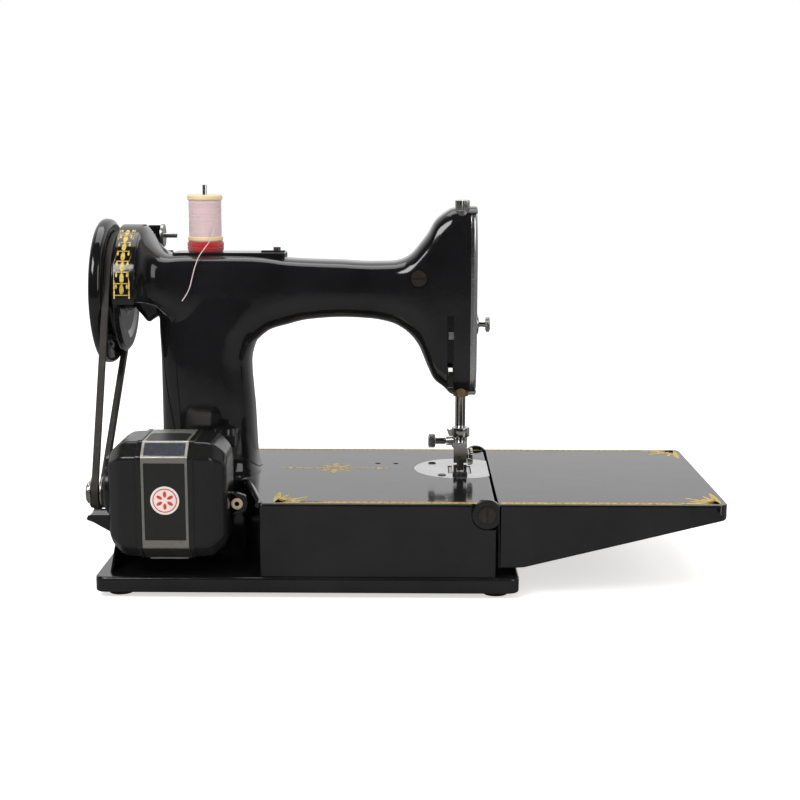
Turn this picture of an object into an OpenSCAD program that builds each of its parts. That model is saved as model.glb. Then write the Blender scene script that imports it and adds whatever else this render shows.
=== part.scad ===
// Portable electric sewing machine with a folding extension table.
// X runs from the hand wheel to the table, Y from the motor side to the sewing side, Z up.
// The origin is the centre of the base at the underside of the feet.

/* [Base and bed] */
// Length of the base flange
base_len = 258; // [250:1:270]
// Depth of the base flange
base_dep = 170; // [166:1:180]
// Height of the base flange
flange_h = 9.5; // [8:0.5:11]
// Corner radius of the base flange
flange_r = 8; // [5:1:12]
// Height of the rubber feet below the flange
foot_h = 3.5; // [2:0.5:6]
// Radius of a rubber foot
foot_r = 7.5; // [6:0.5:9]
// Height of the bed surface above the floor
bed_h = 58.5; // [56:0.5:62]
// Ledge of the flange outside the bed wall
ledge = 2.5; // [2:0.5:4]
// Wall thickness of the bed casting
bed_wall = 4; // [3:0.5:5]
// Free end of the bed, where the table begins
bed_end = 114.5; // [112:0.5:117]
// Left end of the bed behind the motor
bed_left = 121; // [118:0.5:124]
// Back edge of the bed beside the motor
notch_y = -20; // [-24:1:-16]
// Where the motor bay ends at the back of the bed
notch_x = -29; // [-34:1:-24]

/* [Extension table] */
// Reach of the table beyond the bed
table_len = 138.5; // [120:0.5:142]
// Thickness of the table at its free end
table_tip = 9; // [7:0.5:12]
// Wall thickness of the table
table_wall = 3.5; // [3:0.5:4]
// Gap between the bed and the table
table_gap = 1.2; // [1.2:0.1:2]
// Height of the hinge axis below the bed surface
hinge_drop = 6.4; // [6:0.1:6.6]
// Distance of the hinge axis from the end of the bed
hinge_in = 5.6; // [5.4:0.1:6]
// Radius of the hinge ears
ear_r = 9.2; // [8.6:0.1:9.6]
// Thickness of the hinge ears
ear_t = 4; // [3:0.5:5]
// Radius of the hinge screw shank
hinge_r = 2.5; // [2:0.1:3]
// Radius of the hinge screw head
hinge_head_r = 5.1; // [4.5:0.1:6]

/* [Arm and pillar] */
// Centre plane of the arm
arm_y = 15; // [13:0.5:17]
// Height of the arm shaft above the floor
shaft_z = 177.5; // [176:0.5:179]
// Height of the top of the arm at the spool pin
arm_top = 203.3; // [202:0.1:205]
// Underside of the arm at mid span
arch_top = 161.3; // [160:0.1:163]
// Half depth of the arm
arm_hd = 21.5; // [20:0.5:24]
// Half depth of the head
head_hd = 23.5; // [22:0.5:25]
// Height of the top of the head
head_top = 233; // [231:0.5:235]
// Underside of the head
head_bottom = 110.5; // [109:0.5:112]
// End of the head casting, where the face plate sits
head_end = 100.5; // [100:0.5:102]
// Wall thickness of the arm casting
arm_wall = 4; // [3:0.5:5]
// Left side of the pillar
pillar_left = -101; // [-103:0.5:-99]
// Right side of the pillar
pillar_right = -41; // [-43:0.5:-39]
// Half depth of the pillar
pillar_hd = 28; // [26:0.5:30]
// Outer radius of the wheel hood
hood_r = 43.5; // [43:0.5:45]
// Flat lower edge of the wheel hood
hood_cut = 172.5; // [170:0.5:175]
// Outer face of the wheel hood
hood_x = -125; // [-125.2:0.1:-124.6]

/* [Hand wheel and belt] */
// Radius of the hand wheel
wheel_r = 47.3; // [46:0.1:49]
// Radius of the wheel's belt flange
belt_flange_r = 39.5; // [39:0.1:40]
// Plane of the drive belt
belt_x = -129; // [-129.4:0.1:-128.6]
// Width of the drive belt
belt_w = 4.6; // [4:0.1:5]
// Thickness of the drive belt
belt_t = 4; // [3:0.1:4.5]
// Outer radius of the belt on the hand wheel
belt_R = 38.5; // [38:0.1:39]
// Outer radius of the belt on the motor pulley
belt_r = 10.5; // [10:0.1:11]
// Radius of the arm shaft
shaft_r = 5; // [4.5:0.1:5.5]
// Outer radius of the shaft bushings
bush_r = 8; // [7.5:0.1:8.5]
// Radius of the stop motion knob
knob_r = 15; // [12:0.5:17]

/* [Motor] */
// Middle of the motor along the machine
motor_x = -83.4; // [-84:0.2:-82.8]
// Motor shaft position across the machine
motor_y = -65; // [-67:0.5:-64]
// Motor shaft height
motor_z = 61; // [60:0.5:62]
// Half width of the motor
motor_hw = 36; // [34:0.5:37]
// Half depth of the motor
motor_hd = 27; // [26:0.5:28]
// Half height of the motor
motor_hh = 36; // [34:0.5:37]
// Corner chamfer of the motor
motor_c = 8.5; // [6:0.5:11]
// Width of the middle band of the motor
band_w = 28; // [24:0.5:32]
// Wall of the motor shells
shell_t = 2.5; // [2:0.1:3]
// Radius of the motor shaft
motor_shaft_r = 3.5; // [3:0.1:4]

/* [Sewing head] */
// Needle bar position along the machine
needle_x = 95.2; // [95:0.1:95.4]
// Needle bar position across the machine
needle_y = 14; // [13.5:0.1:14.5]
// Presser bar position across the machine
presser_y = 1; // [0.5:0.1:1.5]
// Radius of the needle bar and presser bar
bar_r = 3.2; // [2.8:0.1:3.4]
// Radius of the needle
needle_r = 0.5; // [0.4:0.05:0.6]
// Lift of the presser foot
foot_lift = 6.5; // [5:0.5:7]
// Stroke of the needle bar
needle_stroke = 30; // [28:1:31]
// Radius of the round needle plate
plate_r = 30.3; // [29:0.1:31]
// Thickness of the needle plate
plate_t = 1.6; // [1.4:0.1:2]

/* [Drive below the bed] */
// Height of the hook shaft
hook_z = 34.5; // [34:0.1:35]
// Radius of the hook shaft
hook_shaft_r = 4; // [3.5:0.1:4.5]
// Radius of the rotary hook
hook_r = 14; // [13:0.5:14.5]
// Upright shaft position along the machine
upright_x = -72; // [-73:0.5:-71]
// Radius of the upright shaft
upright_r = 4.5; // [4:0.1:5]
// Pitch radius of the upper bevel gears
upper_gear_r = 13; // [12:0.5:14]
// Teeth of each upper bevel gear
upper_teeth = 20; // [16:4:24]
// Pitch radius of the small lower gear
pinion_r = 8; // [7.5:0.1:8.5]
// Teeth of the small lower gear
pinion_teeth = 16; // [12:4:20]

/* [Spool] */
// Spool pin position along the machine
spool_x = -71.5; // [-73:0.5:-68]
// Radius of the spool flanges
spool_r = 11.4; // [10:0.1:13]
// Height of the spool
spool_h = 30; // [26:0.5:34]
// Thickness of the spool felt
felt_t = 6.7; // [4:0.1:8]
// Radius of the spool pin
pin_r = 1.45; // [1.2:0.05:1.8]

/* [Fits] */
// Radial running clearance of a shaft in its bearing
run_c = 0.05; // [0.02:0.01:0.08]
// Clearance between pieces that slide past each other
slide_c = 0.3; // [0.25:0.05:0.4]

/* [Hidden] */
$fn = 64;
flange_top = foot_h + flange_h;
base_x = base_len/2;
base_y = base_dep/2;
bed_y = base_y - ledge;
bed_top_t = bed_wall;
bed_under = bed_h - bed_top_t;
hinge_x = bed_end - hinge_in;
hinge_z = bed_h - hinge_drop;
table_x0 = bed_end + table_gap;
table_x1 = table_x0 + table_len;
relief_r = norm([hinge_in, hinge_drop]) + 0.5;
deck_t = 3;
bearing_xs = [-40, 66];
guide_xs = [40.3, 52.6];
guide_y = 32;
guide_r = 1.8;
tray_boss = [10, -35];
tray_boss_z = 32;
tray_screw_r = 2.5;
tray_t = 1.2;
foot_xs = [-base_x + 14, base_x - 14];
foot_ys = [-base_y + 14, base_y - 14];
head_mid = (head_bottom + head_top)/2;
head_wall = 4.6;
pressure_r = 4.7;
bridge_z = 195;
cavity_x = 78;
lifter_x = 88;
lifter_pin = [2, 128];
lifter_slot = [120, 164];
lifter_boss_x = 82.4;
take_x = 92.5;
take_pin = [28, 187];
take_eye = [51, 196.2];
gear_face = 0.35;
big_gear_r = 2*pinion_r;
plate_y = arm_y + 3.3;
sole_z = bed_h + slide_c;
plate_screws = [[needle_x - 18, plate_y + 15], [needle_x - 12, plate_y - 21]];
dog_rows = [needle_x - 5.6, needle_x + 5.6];
dog_z = bed_under - slide_c;
clamp_z = 76;
needle_shank_r = 1;
holder_top = sole_z + 21;
foot_pin = [presser_y + 3.2, sole_z + 4.2];
face_screw = [8, 157];
tension_y = arm_y + head_hd;
tension_at = [88, 146];
mount_screw = [-56, -27];
collar_z = 148;
pressure_end = bridge_z + 1;
spring_r = 4;
link_z = 155;
crank_x = 85.5;
link_x = crank_x + slide_c;
crank_pin_z = 186;
bar_bush_r = 5;
winder_x = -112;
winder_pin = [56, 200];
winder_pin_r = 1.6;
winder_at = [56, 211.5];
winder_lug_x = [-104, -100];
winder_flange_r = 7.7;
pivot_r = 1.5;
lip_x = 4.5;
lip_h = 4;
stitch_at = [-71, 112];
dial_y = arm_y + pillar_hd - 0.6;
dial_r = 15;
stud_r = 2;
back_screw = [67.6, 187.8];
back_screw_y = arm_y - arm_hd - 1.5;
back_screw_t = 3;
back_screw_r = 5.1;
lamp_x = 40;
lamp_z = 165;
thread_r = 0.3;
apex = [upright_x, arm_y];
belt_in_R = belt_R - belt_t;
belt_in_r = belt_r - belt_t;
belt_drop = [motor_y - arm_y, motor_z - shaft_z];
black = [0.06, 0.06, 0.065];
nickel = [0.78, 0.77, 0.75];
steel = [0.6, 0.6, 0.62];
rubber = [0.12, 0.11, 0.1];

// Cylinder along X from x0 to x1 at [y, z]
module rod_x(x0, x1, yz, r) {
    translate([x0, yz[0], yz[1]])
        rotate([0, 90, 0])
            cylinder(h = x1 - x0, r = r);
}

// Cylinder along Y from y0 to y1 at [x, z]
module rod_y(y0, y1, xz, r) {
    translate([xz[0], y0, xz[1]])
        rotate([-90, 0, 0])
            cylinder(h = y1 - y0, r = r);
}

// Cylinder along Z from z0 to z1 at [x, y]
module rod_z(z0, z1, xy, r) {
    translate([xy[0], xy[1], z0])
        cylinder(h = z1 - z0, r = r);
}

// Block between two corners
module block(a, b) {
    translate(a)
        cube(b - a);
}

// Rounded rectangle between two corners in the plane
module round_rect(a, b, r) {
    translate([a[0] + r, a[1]])
        square([b[0] - a[0] - 2*r, b[1] - a[1]]);
    translate([a[0], a[1] + r])
        square([b[0] - a[0], b[1] - a[1] - 2*r]);
    for (x = [a[0] + r, b[0] - r])
        for (y = [a[1] + r, b[1] - r])
            translate([x, y])
                circle(r);
}

// Closed skin over a list of equal rings
module loft(rings) {
    n = len(rings[0]);
    m = len(rings);
    points = [for (ring = rings) each ring];
    sides = [for (j = [0:m - 2]) for (i = [0:n - 1])
        each [[j*n + i, (j + 1)*n + i, (j + 1)*n + (i + 1)%n],
              [j*n + i, (j + 1)*n + (i + 1)%n, j*n + (i + 1)%n]]];
    first = [for (i = [0:n - 1]) i];
    last = [for (i = [n - 1:-1:0]) (m - 1)*n + i];
    polyhedron(points, concat(sides, [first], [last]));
}

function bulge(t, p) = sign(t)*pow(abs(t), 2/p);

// Section of the arm: [x, underside, waist, top, half depth, squareness], drawn in by wall w
function arm_ring(s, w, n = 28) = [for (i = [0:n - 1]) let (a = 360*i/n, up = sin(a) >= 0)
    [s[0], arm_y + (s[4] - w)*bulge(cos(a), s[5]),
     s[2] + ((up ? s[3] - s[2] : s[2] - s[1]) - w)*bulge(sin(a), s[5])]];

// Section of the pillar: [z, left, right, near, far], drawn in by wall w
function pillar_ring(s, w, p = 3, n = 28) = [for (i = [0:n - 1]) let (a = 360*i/n)
    [(s[1] + s[2])/2 + ((s[2] - s[1])/2 - w)*bulge(cos(a), p),
     (s[3] + s[4])/2 + ((s[4] - s[3])/2 - w)*bulge(sin(a), p), s[0]]];

arm_stations = [
    [-112, hood_cut, shaft_z, arm_top + 17.7, hood_r - 0.3, 2.1],
    [-109, hood_cut, shaft_z + 1, arm_top + 15.5, hood_r - 4.5, 2.3],
    [-105.5, hood_cut - 2, shaft_z + 2, arm_top + 8.5, hood_r - 10.5, 2.7],
    [-101, hood_cut - 5, shaft_z + 3, arm_top + 2.5, pillar_hd + 0.5, 3.3],
    [-94, hood_cut - 12, shaft_z + 3, arm_top - 1.5, pillar_hd - 2, 4],
    [-84, arch_top - 8, shaft_z, arm_top - 1, arm_hd + 3, 4],
    [-60, arch_top - 12, shaft_z - 2, arm_top - 1, arm_hd + 2, 4],
    [-40, arch_top - 16, shaft_z - 4, arm_top - 1.3, arm_hd + 1.5, 4],
    [-34, arch_top - 11.5, shaft_z - 2, arm_top - 1.8, arm_hd + 1.2, 4],
    [-29, arch_top - 8, shaft_z, arm_top - 2.3, arm_hd + 1, 4],
    [-18, arch_top - 4.8, shaft_z + 1, arm_top - 3.8, arm_hd + 0.5, 3.8],
    [-5, arch_top - 1.6, shaft_z + 2, arm_top - 4.5, arm_hd, 3.6],
    [18, arch_top, shaft_z + 2, arm_top - 5.2, arm_hd, 3.6],
    [35, arch_top - 0.7, shaft_z + 1.5, arm_top - 6, arm_hd, 3.6],
    [50, arch_top - 3.5, shaft_z, arm_top - 5.8, arm_hd, 3.6],
    [57, arch_top - 7, shaft_z - 1, arm_top - 4.3, arm_hd + 0.5, 3.6],
    [63, arch_top - 12, shaft_z - 2, arm_top - 0.5, arm_hd + 1, 3.7],
    [68, arch_top - 19, shaft_z - 3, arm_top + 5.5, arm_hd + 1.5, 3.8],
    [73, arch_top - 31, head_mid, arm_top + 12, head_hd, 4],
    [cavity_x, arch_top - 41, head_mid, head_top - 9, head_hd, 4.2],
    [84, arch_top - 45.5, head_mid, head_top - 4, head_hd, 4.5],
    [90, head_bottom, head_mid, head_top - 0.8, head_hd, 4.8],
    [head_end, head_bottom, head_mid, head_top, head_hd, 4.8]];
pillar_stations = [
    [bed_h, pillar_left - 5, pillar_right + 5, arm_y - pillar_hd - 6, arm_y + pillar_hd + 6],
    [bed_h + 4, pillar_left - 2.5, pillar_right + 3, arm_y - pillar_hd - 2.5, arm_y + pillar_hd + 2.5],
    [bed_h + 12, pillar_left - 0.8, pillar_right + 1.5, arm_y - pillar_hd, arm_y + pillar_hd],
    [bed_h + 40, pillar_left, pillar_right + 0.3, arm_y - pillar_hd, arm_y + pillar_hd],
    [bed_h + 72, pillar_left, pillar_right - 1.8, arm_y - pillar_hd + 1, arm_y + pillar_hd - 1],
    [bed_h + 87, pillar_left - 0.5, pillar_right + 2, arm_y - pillar_hd + 2, arm_y + pillar_hd - 2],
    [bed_h + 98, pillar_left - 1, pillar_right + 12, arm_y - pillar_hd + 3, arm_y + pillar_hd - 3],
    [bed_h + 112, pillar_left - 1, pillar_right + 22, arm_y - pillar_hd + 4, arm_y + pillar_hd - 4]];

// Outline of the raised bed box, drawn in by d
module bed_outline(d = 0) {
    polygon([[-bed_left + d, notch_y + d], [notch_x - 14, notch_y + d], [notch_x + d, -bed_y + 8],
        [notch_x + 1 + d, -bed_y + d], [bed_end - d, -bed_y + d], [bed_end - d, bed_y - d],
        [-bed_left + 6 + d, bed_y - d], [-bed_left + d, bed_y - 6 - d]]);
}

module bed_casting() {
    color(black)
        difference() {
            union() {
                bed_shell();
                bed_lugs();
            }
            rod_y(-bed_y - 1, bed_y + 1, [hinge_x, hinge_z], hinge_r);
            for (x = bearing_xs)
                rod_x(x - 6, x + 6, [arm_y, hook_z], hook_shaft_r + run_c);
            rod_z(foot_h - 1, tray_boss_z, tray_boss, tray_screw_r);
            // guide holes for a seam gauge
            for (x = guide_xs)
                rod_z(bed_under - 1, bed_h + 1, [x, guide_y], guide_r);
        }
}

module bed_shell() {
    difference() {
        union() {
            translate([0, 0, foot_h])
                linear_extrude(flange_h)
                    round_rect([-base_x, -base_y], [base_x, base_y], flange_r);
            translate([0, 0, foot_h])
                linear_extrude(bed_h - foot_h)
                    bed_outline();
            // cheek that closes the left end beside the motor bay
            translate([-bed_left, 0, 0])
                rotate([90, 0, 90])
                    linear_extrude(1.5)
                        polygon([[notch_y, flange_top], [-base_y + 8, flange_top],
                            [notch_y - 16, bed_h - 12], [notch_y, bed_h - 4]]);
        }
        // hollow under the bed box
        translate([0, 0, -1])
            linear_extrude(bed_under + 1)
                bed_outline(bed_wall);
        // hollow under the flange and the motor deck
        translate([0, 0, -1])
            linear_extrude(flange_top - deck_t + 1)
                round_rect([-base_x + 5, -base_y + 5], [base_x - 5, base_y - 5], flange_r - 5);
        // seat of the needle plate and the hole for the hook below it
        translate([0, 0, bed_h - plate_t])
            intersection() {
                translate([needle_x, plate_y, 0])
                    cylinder(h = 10, r = plate_r + slide_c/2);
                block([0, -50, -1], [bed_end + 1, 90, 11]);
            }
        rod_z(bed_under - 1, bed_h + 1, [needle_x - 2, arm_y + 2], 19);
        // opening under the pillar for the upright shaft
        rod_z(bed_under - 1, bed_h + 1, apex, upright_r + 3);
        // window to the bobbin at the end of the bed
        block([bed_end - bed_wall - 1, -16, 16], [bed_end + 1, 46, bed_under - 2]);
        // recesses and threads for the hinge ears
        for (s = [-1, 1]) {
            rod_y(s*bed_y - (ear_t + slide_c), s*bed_y + (ear_t + slide_c), [hinge_x, hinge_z],
                ear_r + slide_c);
            block([hinge_x, min(s*bed_y, s*(bed_y - ear_t - slide_c)), hinge_z - ear_r - slide_c],
                [bed_end + 1, max(s*bed_y, s*(bed_y - ear_t - slide_c)), bed_h + 1]);
            block([hinge_x - ear_r - slide_c, min(s*bed_y, s*(bed_y - ear_t - slide_c)), hinge_z],
                [bed_end + 1, max(s*bed_y, s*(bed_y - ear_t - slide_c)), bed_h + 1]);
        }
    }
}

// Bosses inside the bed: hinge threads, shaft bearings and the tray screw
module bed_lugs() {
    lug_y = bed_y - ear_t - slide_c - 5;
    for (s = [-1, 1])
        block([hinge_x - 7, s*lug_y - 5, hinge_z - 6.5],
            [bed_end - bed_wall + 1, s*lug_y + 5, bed_under + 1]);
    for (x = bearing_xs)
        block([x - 5, arm_y - 9, hook_z - 9], [x + 5, arm_y + 9, bed_under + 1]);
    rod_z(tray_boss_z - 12, bed_under + 1, tray_boss, 6);
}

module drip_tray() {
    inset = 5 + slide_c;
    color(black)
        difference() {
            translate([0, 0, foot_h])
                linear_extrude(4)
                    round_rect([-base_x + inset, -base_y + inset], [base_x - inset, base_y - inset], 2.6);
            translate([0, 0, foot_h + tray_t])
                linear_extrude(4)
                    round_rect([-base_x + inset + 1, -base_y + inset + 1],
                        [base_x - inset - 1, base_y - inset - 1], 1.6);
            rod_z(0, 10, tray_boss, tray_screw_r + 0.1);
            for (x = foot_xs)
                for (y = foot_ys)
                    rod_z(0, 10, [x, y], 2.5);
        }
}

module tray_felt() {
    color([0.35, 0.33, 0.3])
        difference() {
            block([-bed_left + 12, notch_y + 10, foot_h + tray_t], [bed_end - 16, bed_y - 10, foot_h + tray_t + 3]);
            rod_z(0, 20, tray_boss, 6);
        }
}

module tray_thumb_nut() {
    color(nickel) {
        difference() {
            rod_z(0.6, foot_h, tray_boss, 7.5);
            for (a = [0:30:330])
                translate([tray_boss[0] + 8*cos(a), tray_boss[1] + 8*sin(a), 0])
                    cylinder(h = foot_h + 1, r = 1.2);
        }
        rod_z(foot_h, tray_boss_z - 1, tray_boss, tray_screw_r - 0.02);
    }
}

module rubber_feet() {
    color(rubber)
        for (x = foot_xs)
            for (y = foot_ys) {
                rod_z(0, foot_h, [x, y], foot_r);
                rod_z(foot_h, foot_h + tray_t + 1.2, [x, y], 2.4);
            }
}

// Side profile of the extension table, drawn in by d at the free sides
module table_profile(d = 0) {
    foot_x = bed_end + 17;
    polygon([[table_x0 - d*3, bed_h - d], [table_x1 - d, bed_h - d], [table_x1 - d, bed_h - table_tip + d*0.6],
        [foot_x, flange_top + 6.2 + d*(d > 0 ? -3 : 0)],
        [table_x0 - d*3, flange_top + 5.4 + d*(d > 0 ? -3 : 0)]]);
}

module extension_table() {
    hinge = [hinge_x, hinge_z];
    color(black)
        difference() {
            union() {
                intersection() {
                    translate([0, bed_y, 0])
                        rotate([90, 0, 0])
                            linear_extrude(2*bed_y)
                                table_profile();
                    linear_extrude(bed_h + 1)
                        round_rect([table_x0 - 20, -bed_y], [table_x1, bed_y], 9);
                }
                for (s = [-1, 1])
                    intersection() {
                        rod_y(min(s*bed_y, s*(bed_y - ear_t)), max(s*bed_y, s*(bed_y - ear_t)), hinge, ear_r);
                        block([0, -bed_y, 0], [table_x1, bed_y, bed_h]);
                    }
            }
            // hollow underside
            intersection() {
                translate([0, bed_y - table_wall, 0])
                    rotate([90, 0, 0])
                        linear_extrude(2*(bed_y - table_wall))
                            table_profile(table_wall);
                linear_extrude(bed_h)
                    round_rect([table_x0 - 20, -bed_y + table_wall], [table_x1 - table_wall, bed_y - table_wall], 5.5);
            }
            // relief that lets the end swing past the bed
            rod_y(-bed_y + ear_t, bed_y - ear_t, hinge, relief_r);
            rod_y(-bed_y - 1, bed_y + 1, hinge, hinge_r + run_c);
            rod_y(-bed_y - 1, -bed_y + 1, hinge, hinge_head_r + slide_c);
            rod_y(bed_y - 1, bed_y + 1, hinge, hinge_head_r + slide_c);
        }
}

module table_hinge_screws() {
    color([0.36, 0.31, 0.27])
        for (s = [0, 1])
            mirror([0, s, 0])
                difference() {
                    union() {
                        rod_y(-bed_y - 1.2, -bed_y + 1 - slide_c, [hinge_x, hinge_z], hinge_head_r);
                        rod_y(-bed_y + 1 - slide_c, -bed_y + ear_t + 9, [hinge_x, hinge_z], hinge_r);
                    }
                    block([hinge_x - 0.6, -bed_y - 2, hinge_z - 9], [hinge_x + 0.6, -bed_y - 0.2, hinge_z + 9]);
                }
}

module arm_casting() {
    color(black)
        difference() {
            union() {
                difference() {
                    union() {
                        loft([for (s = arm_stations) arm_ring(s, 0)]);
                        loft([for (s = pillar_stations) pillar_ring(s, 0)]);
                        wheel_hood();
                        // rib under the neck
                        translate([0, arm_y + 3, 0])
                            rotate([90, 0, 0])
                                linear_extrude(6)
                                    polygon([[-119, hood_cut + 2], [-119, hood_cut - 5], [-110, hood_cut - 16],
                                        [-99, hood_cut - 7], [-99, hood_cut + 2]]);
                    }
                    loft([for (i = [4:14]) arm_ring(arm_stations[i], arm_wall)]);
                    loft(concat([for (i = [19:22]) arm_ring(arm_stations[i], head_wall)],
                        [arm_ring([head_end + 1, head_bottom, head_mid, head_top, head_hd, 4.8], head_wall)]));
                    loft([for (i = [2:4]) pillar_ring(pillar_stations[i], arm_wall + 1)]);
                    loft([for (i = [5:7]) pillar_ring(pillar_stations[i], arm_wall + 1)]);
                }
                head_lips();
                // bridge in the head that guides both bars
                block([89.2, arm_y - head_hd + 3, bridge_z], [head_end, needle_y + 7, bridge_z + 6]);
                // lug of the bobbin winder
                block([winder_lug_x[0], arm_y + pillar_hd - 6, winder_pin[1] - 4],
                    [winder_lug_x[1], winder_pin[0] + 3, winder_pin[1] + 3]);
                // seat of the spool pin
                rod_z(arm_top - 4, arm_top, [spool_x, arm_y], spool_r + 2);
                block([-92, arm_y - 12, arm_top - 4], [-19, arm_y + 12, arm_top]);
            }
            rod_x(-121, -90, [arm_y, shaft_z], bush_r + 0.1);
            rod_x(45, 90, [arm_y, shaft_z], bush_r + 0.1);
            rod_z(bed_h - 1, bed_h + 14, apex, bush_r + 0.1);
            rod_z(bed_h + 70, bed_h + 90, apex, bush_r + 0.1);
            for (y = [needle_y, presser_y]) {
                rod_z(head_bottom - 1, collar_z + 14, [needle_x, y], bar_bush_r + 0.1);
                rod_z(bridge_z - 1, bridge_z + 7, [needle_x, y], bar_r + run_c);
            }
            rod_z(bridge_z - 1, head_top + 1, [needle_x, presser_y], pressure_r + run_c);
            rod_x(winder_lug_x[0] - 1, winder_lug_x[1] + 1, winder_pin, winder_pin_r);
            rod_z(arm_top - 8, arm_top + 1, [spool_x, arm_y], pin_r);
            // slot of the presser lifter
            block([lifter_x - 2.1, arm_y - head_hd - 1, lifter_slot[0]],
                [lifter_x + 2.1, arm_y - head_hd + 8, lifter_slot[1]]);
            // slot of the take-up lever
            block([take_x - 2.2, arm_y + head_hd - 8, 158], [take_x + 2.2, arm_y + head_hd + 1, 214]);
            // screw in the back of the head, tension stud and stitch dial
            rod_y(arm_y - head_hd - 4, back_screw_y + back_screw_t, back_screw, back_screw_r + 0.2);
            rod_y(tension_y - 7, tension_y + 1, tension_at, stud_r + run_c);
            rod_y(dial_y - 4, dial_y + 30, stitch_at, dial_r + 0.1);
            // blind screw hole in the back of the pillar
            rod_y(arm_y - pillar_hd - 5, arm_y - pillar_hd + 6, [pillar_right - 3.6, 147], 2.6);
        }
}

// Rims that hold the face plate at its top and bottom
module head_lips() {
    difference() {
        loft([for (x = [head_end - 1, head_end + lip_x])
            arm_ring([x, head_bottom, head_mid, head_top, head_hd, 4.8], 0)]);
        block([head_end - 2, arm_y - 40, head_bottom + lip_h], [head_end + 20, arm_y + 40, head_top - lip_h]);
    }
}

module wheel_hood() {
    difference() {
        rod_x(hood_x, -111.5, [arm_y, shaft_z], hood_r);
        rod_x(hood_x - 1, -120.5, [arm_y, shaft_z], belt_flange_r + 1.5);
        block([hood_x - 1, -60, 100], [-111, 90, hood_cut]);
    }
}

module small_screws() {
    color(steel) {
        // needle plate screws, flush in the plate
        for (p = plate_screws)
            rod_z(bed_h - plate_t, bed_h + 0.4, p, 2.6);
        // screw in the back of the head
        difference() {
            rod_y(back_screw_y - 1.2, back_screw_y + back_screw_t, back_screw, back_screw_r);
            block([back_screw[0] - 8, back_screw_y - 2, back_screw[1] - 0.5],
                [back_screw[0] + 8, back_screw_y - 0.4, back_screw[1] + 0.5]);
        }
        // thread guide with its screw on top of the arm
        block([-35, arm_y - 4, arm_top], [-20, arm_y + 4, arm_top + 0.8]);
        rod_z(arm_top + 0.8, arm_top + 3, [-25, arm_y], 2.4);
        // pivots of the presser lifter and the take-up lever
        rod_x(lifter_boss_x, lifter_x + 3, lifter_pin, pivot_r);
        rod_x(lifter_boss_x, lifter_x - 2.2, lifter_pin, 2.4);
        rod_x(cavity_x, take_x + 3, take_pin, pivot_r);
        rod_x(cavity_x, take_x - 2, take_pin, 3);
        // pivot of the bobbin winder
        rod_x(winder_x - 4.5, winder_lug_x[1], winder_pin, winder_pin_r - 0.02);
    }
}

module needle_plate() {
    z0 = bed_h - plate_t;
    color(nickel)
        difference() {
            intersection() {
                rod_z(z0, bed_h, [needle_x, plate_y], plate_r);
                block([0, -60, 0], [bed_end - 0.1, 90, 80]);
            }
            for (x = dog_rows)
                block([x - 2, needle_y - 11.5, z0 - 1], [x + 2, needle_y + 11.5, bed_h + 1]);
            rod_z(z0 - 1, bed_h + 1, [needle_x, needle_y], 1.3);
            for (p = plate_screws)
                rod_z(z0 - 1, bed_h + 1, p, 2.65);
        }
}

module feed_dog() {
    color(steel) {
        difference() {
            block([85, needle_y - 10, dog_z], [needle_x + 9.2, needle_y + 10, dog_z + 1.4]);
            block([needle_x - 3, needle_y - 6, dog_z - 1], [needle_x + 3, needle_y + 6, dog_z + 3]);
        }
        for (x = dog_rows)
            difference() {
                block([x - 1.4, needle_y - 9, dog_z + 1.4], [x + 1.4, needle_y + 9, bed_h - slide_c]);
                for (y = [-8:2:8])
                    translate([x - 2, needle_y + y, bed_h - slide_c + 0.4])
                        rotate([45, 0, 0])
                            cube([4, 1, 1]);
            }
    }
}

module feed_bar() {
    color(steel) {
        block([79, needle_y - 14, dog_z - 3], [88, 44, dog_z]);
        rod_y(44, 50, [83.5, dog_z - 4], 3.4);
    }
}

module rotary_hook() {
    color(steel)
        difference() {
            union() {
                rod_x(needle_x - 8, needle_x - 1.8, [arm_y, hook_z], hook_r);
                rod_x(needle_x - 17, needle_x - 8, [arm_y, hook_z], 8);
                // hook point on the rim
                intersection() {
                    difference() {
                        rod_x(needle_x - 1.8, needle_x - 0.9, [arm_y, hook_z], hook_r);
                        rod_x(needle_x - 2, needle_x, [arm_y, hook_z], hook_r - 2);
                    }
                    block([80, arm_y, 0], [needle_x, 60, hook_z]);
                }
            }
            rod_x(70, needle_x - 4, [arm_y, hook_z], hook_shaft_r);
            // thread relief in the rim
            rod_x(needle_x - 4, needle_x, [arm_y - hook_r, hook_z], 4);
        }
}

module hook_shaft() {
    color(steel) {
        rod_x(upright_x + big_gear_r*(1 - gear_face) - 0.5, needle_x - 4, [arm_y, hook_z], hook_shaft_r);
        hook_pinion();
    }
}

// Bevel gear standing on its large end, narrowing upward to the apex of its cone
module bevel_gear(r, apex_h, teeth, add, ded) {
    p = 2*PI*r/teeth;
    linear_extrude(apex_h*gear_face, scale = 1 - gear_face)
        union() {
            circle(r - ded);
            for (i = [0:teeth - 1])
                rotate(360*i/teeth)
                    polygon([[r - ded - 0.4, -0.27*p], [r + add, -0.12*p], [r + add, 0.12*p],
                        [r - ded - 0.4, 0.27*p]]);
        }
}

module upright_shaft() {
    color(steel)
        rod_z(hook_z + pinion_r*(1 - gear_face) - 1, shaft_z - upper_gear_r*(1 - gear_face) + 0.5, apex, upright_r);
}

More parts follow.
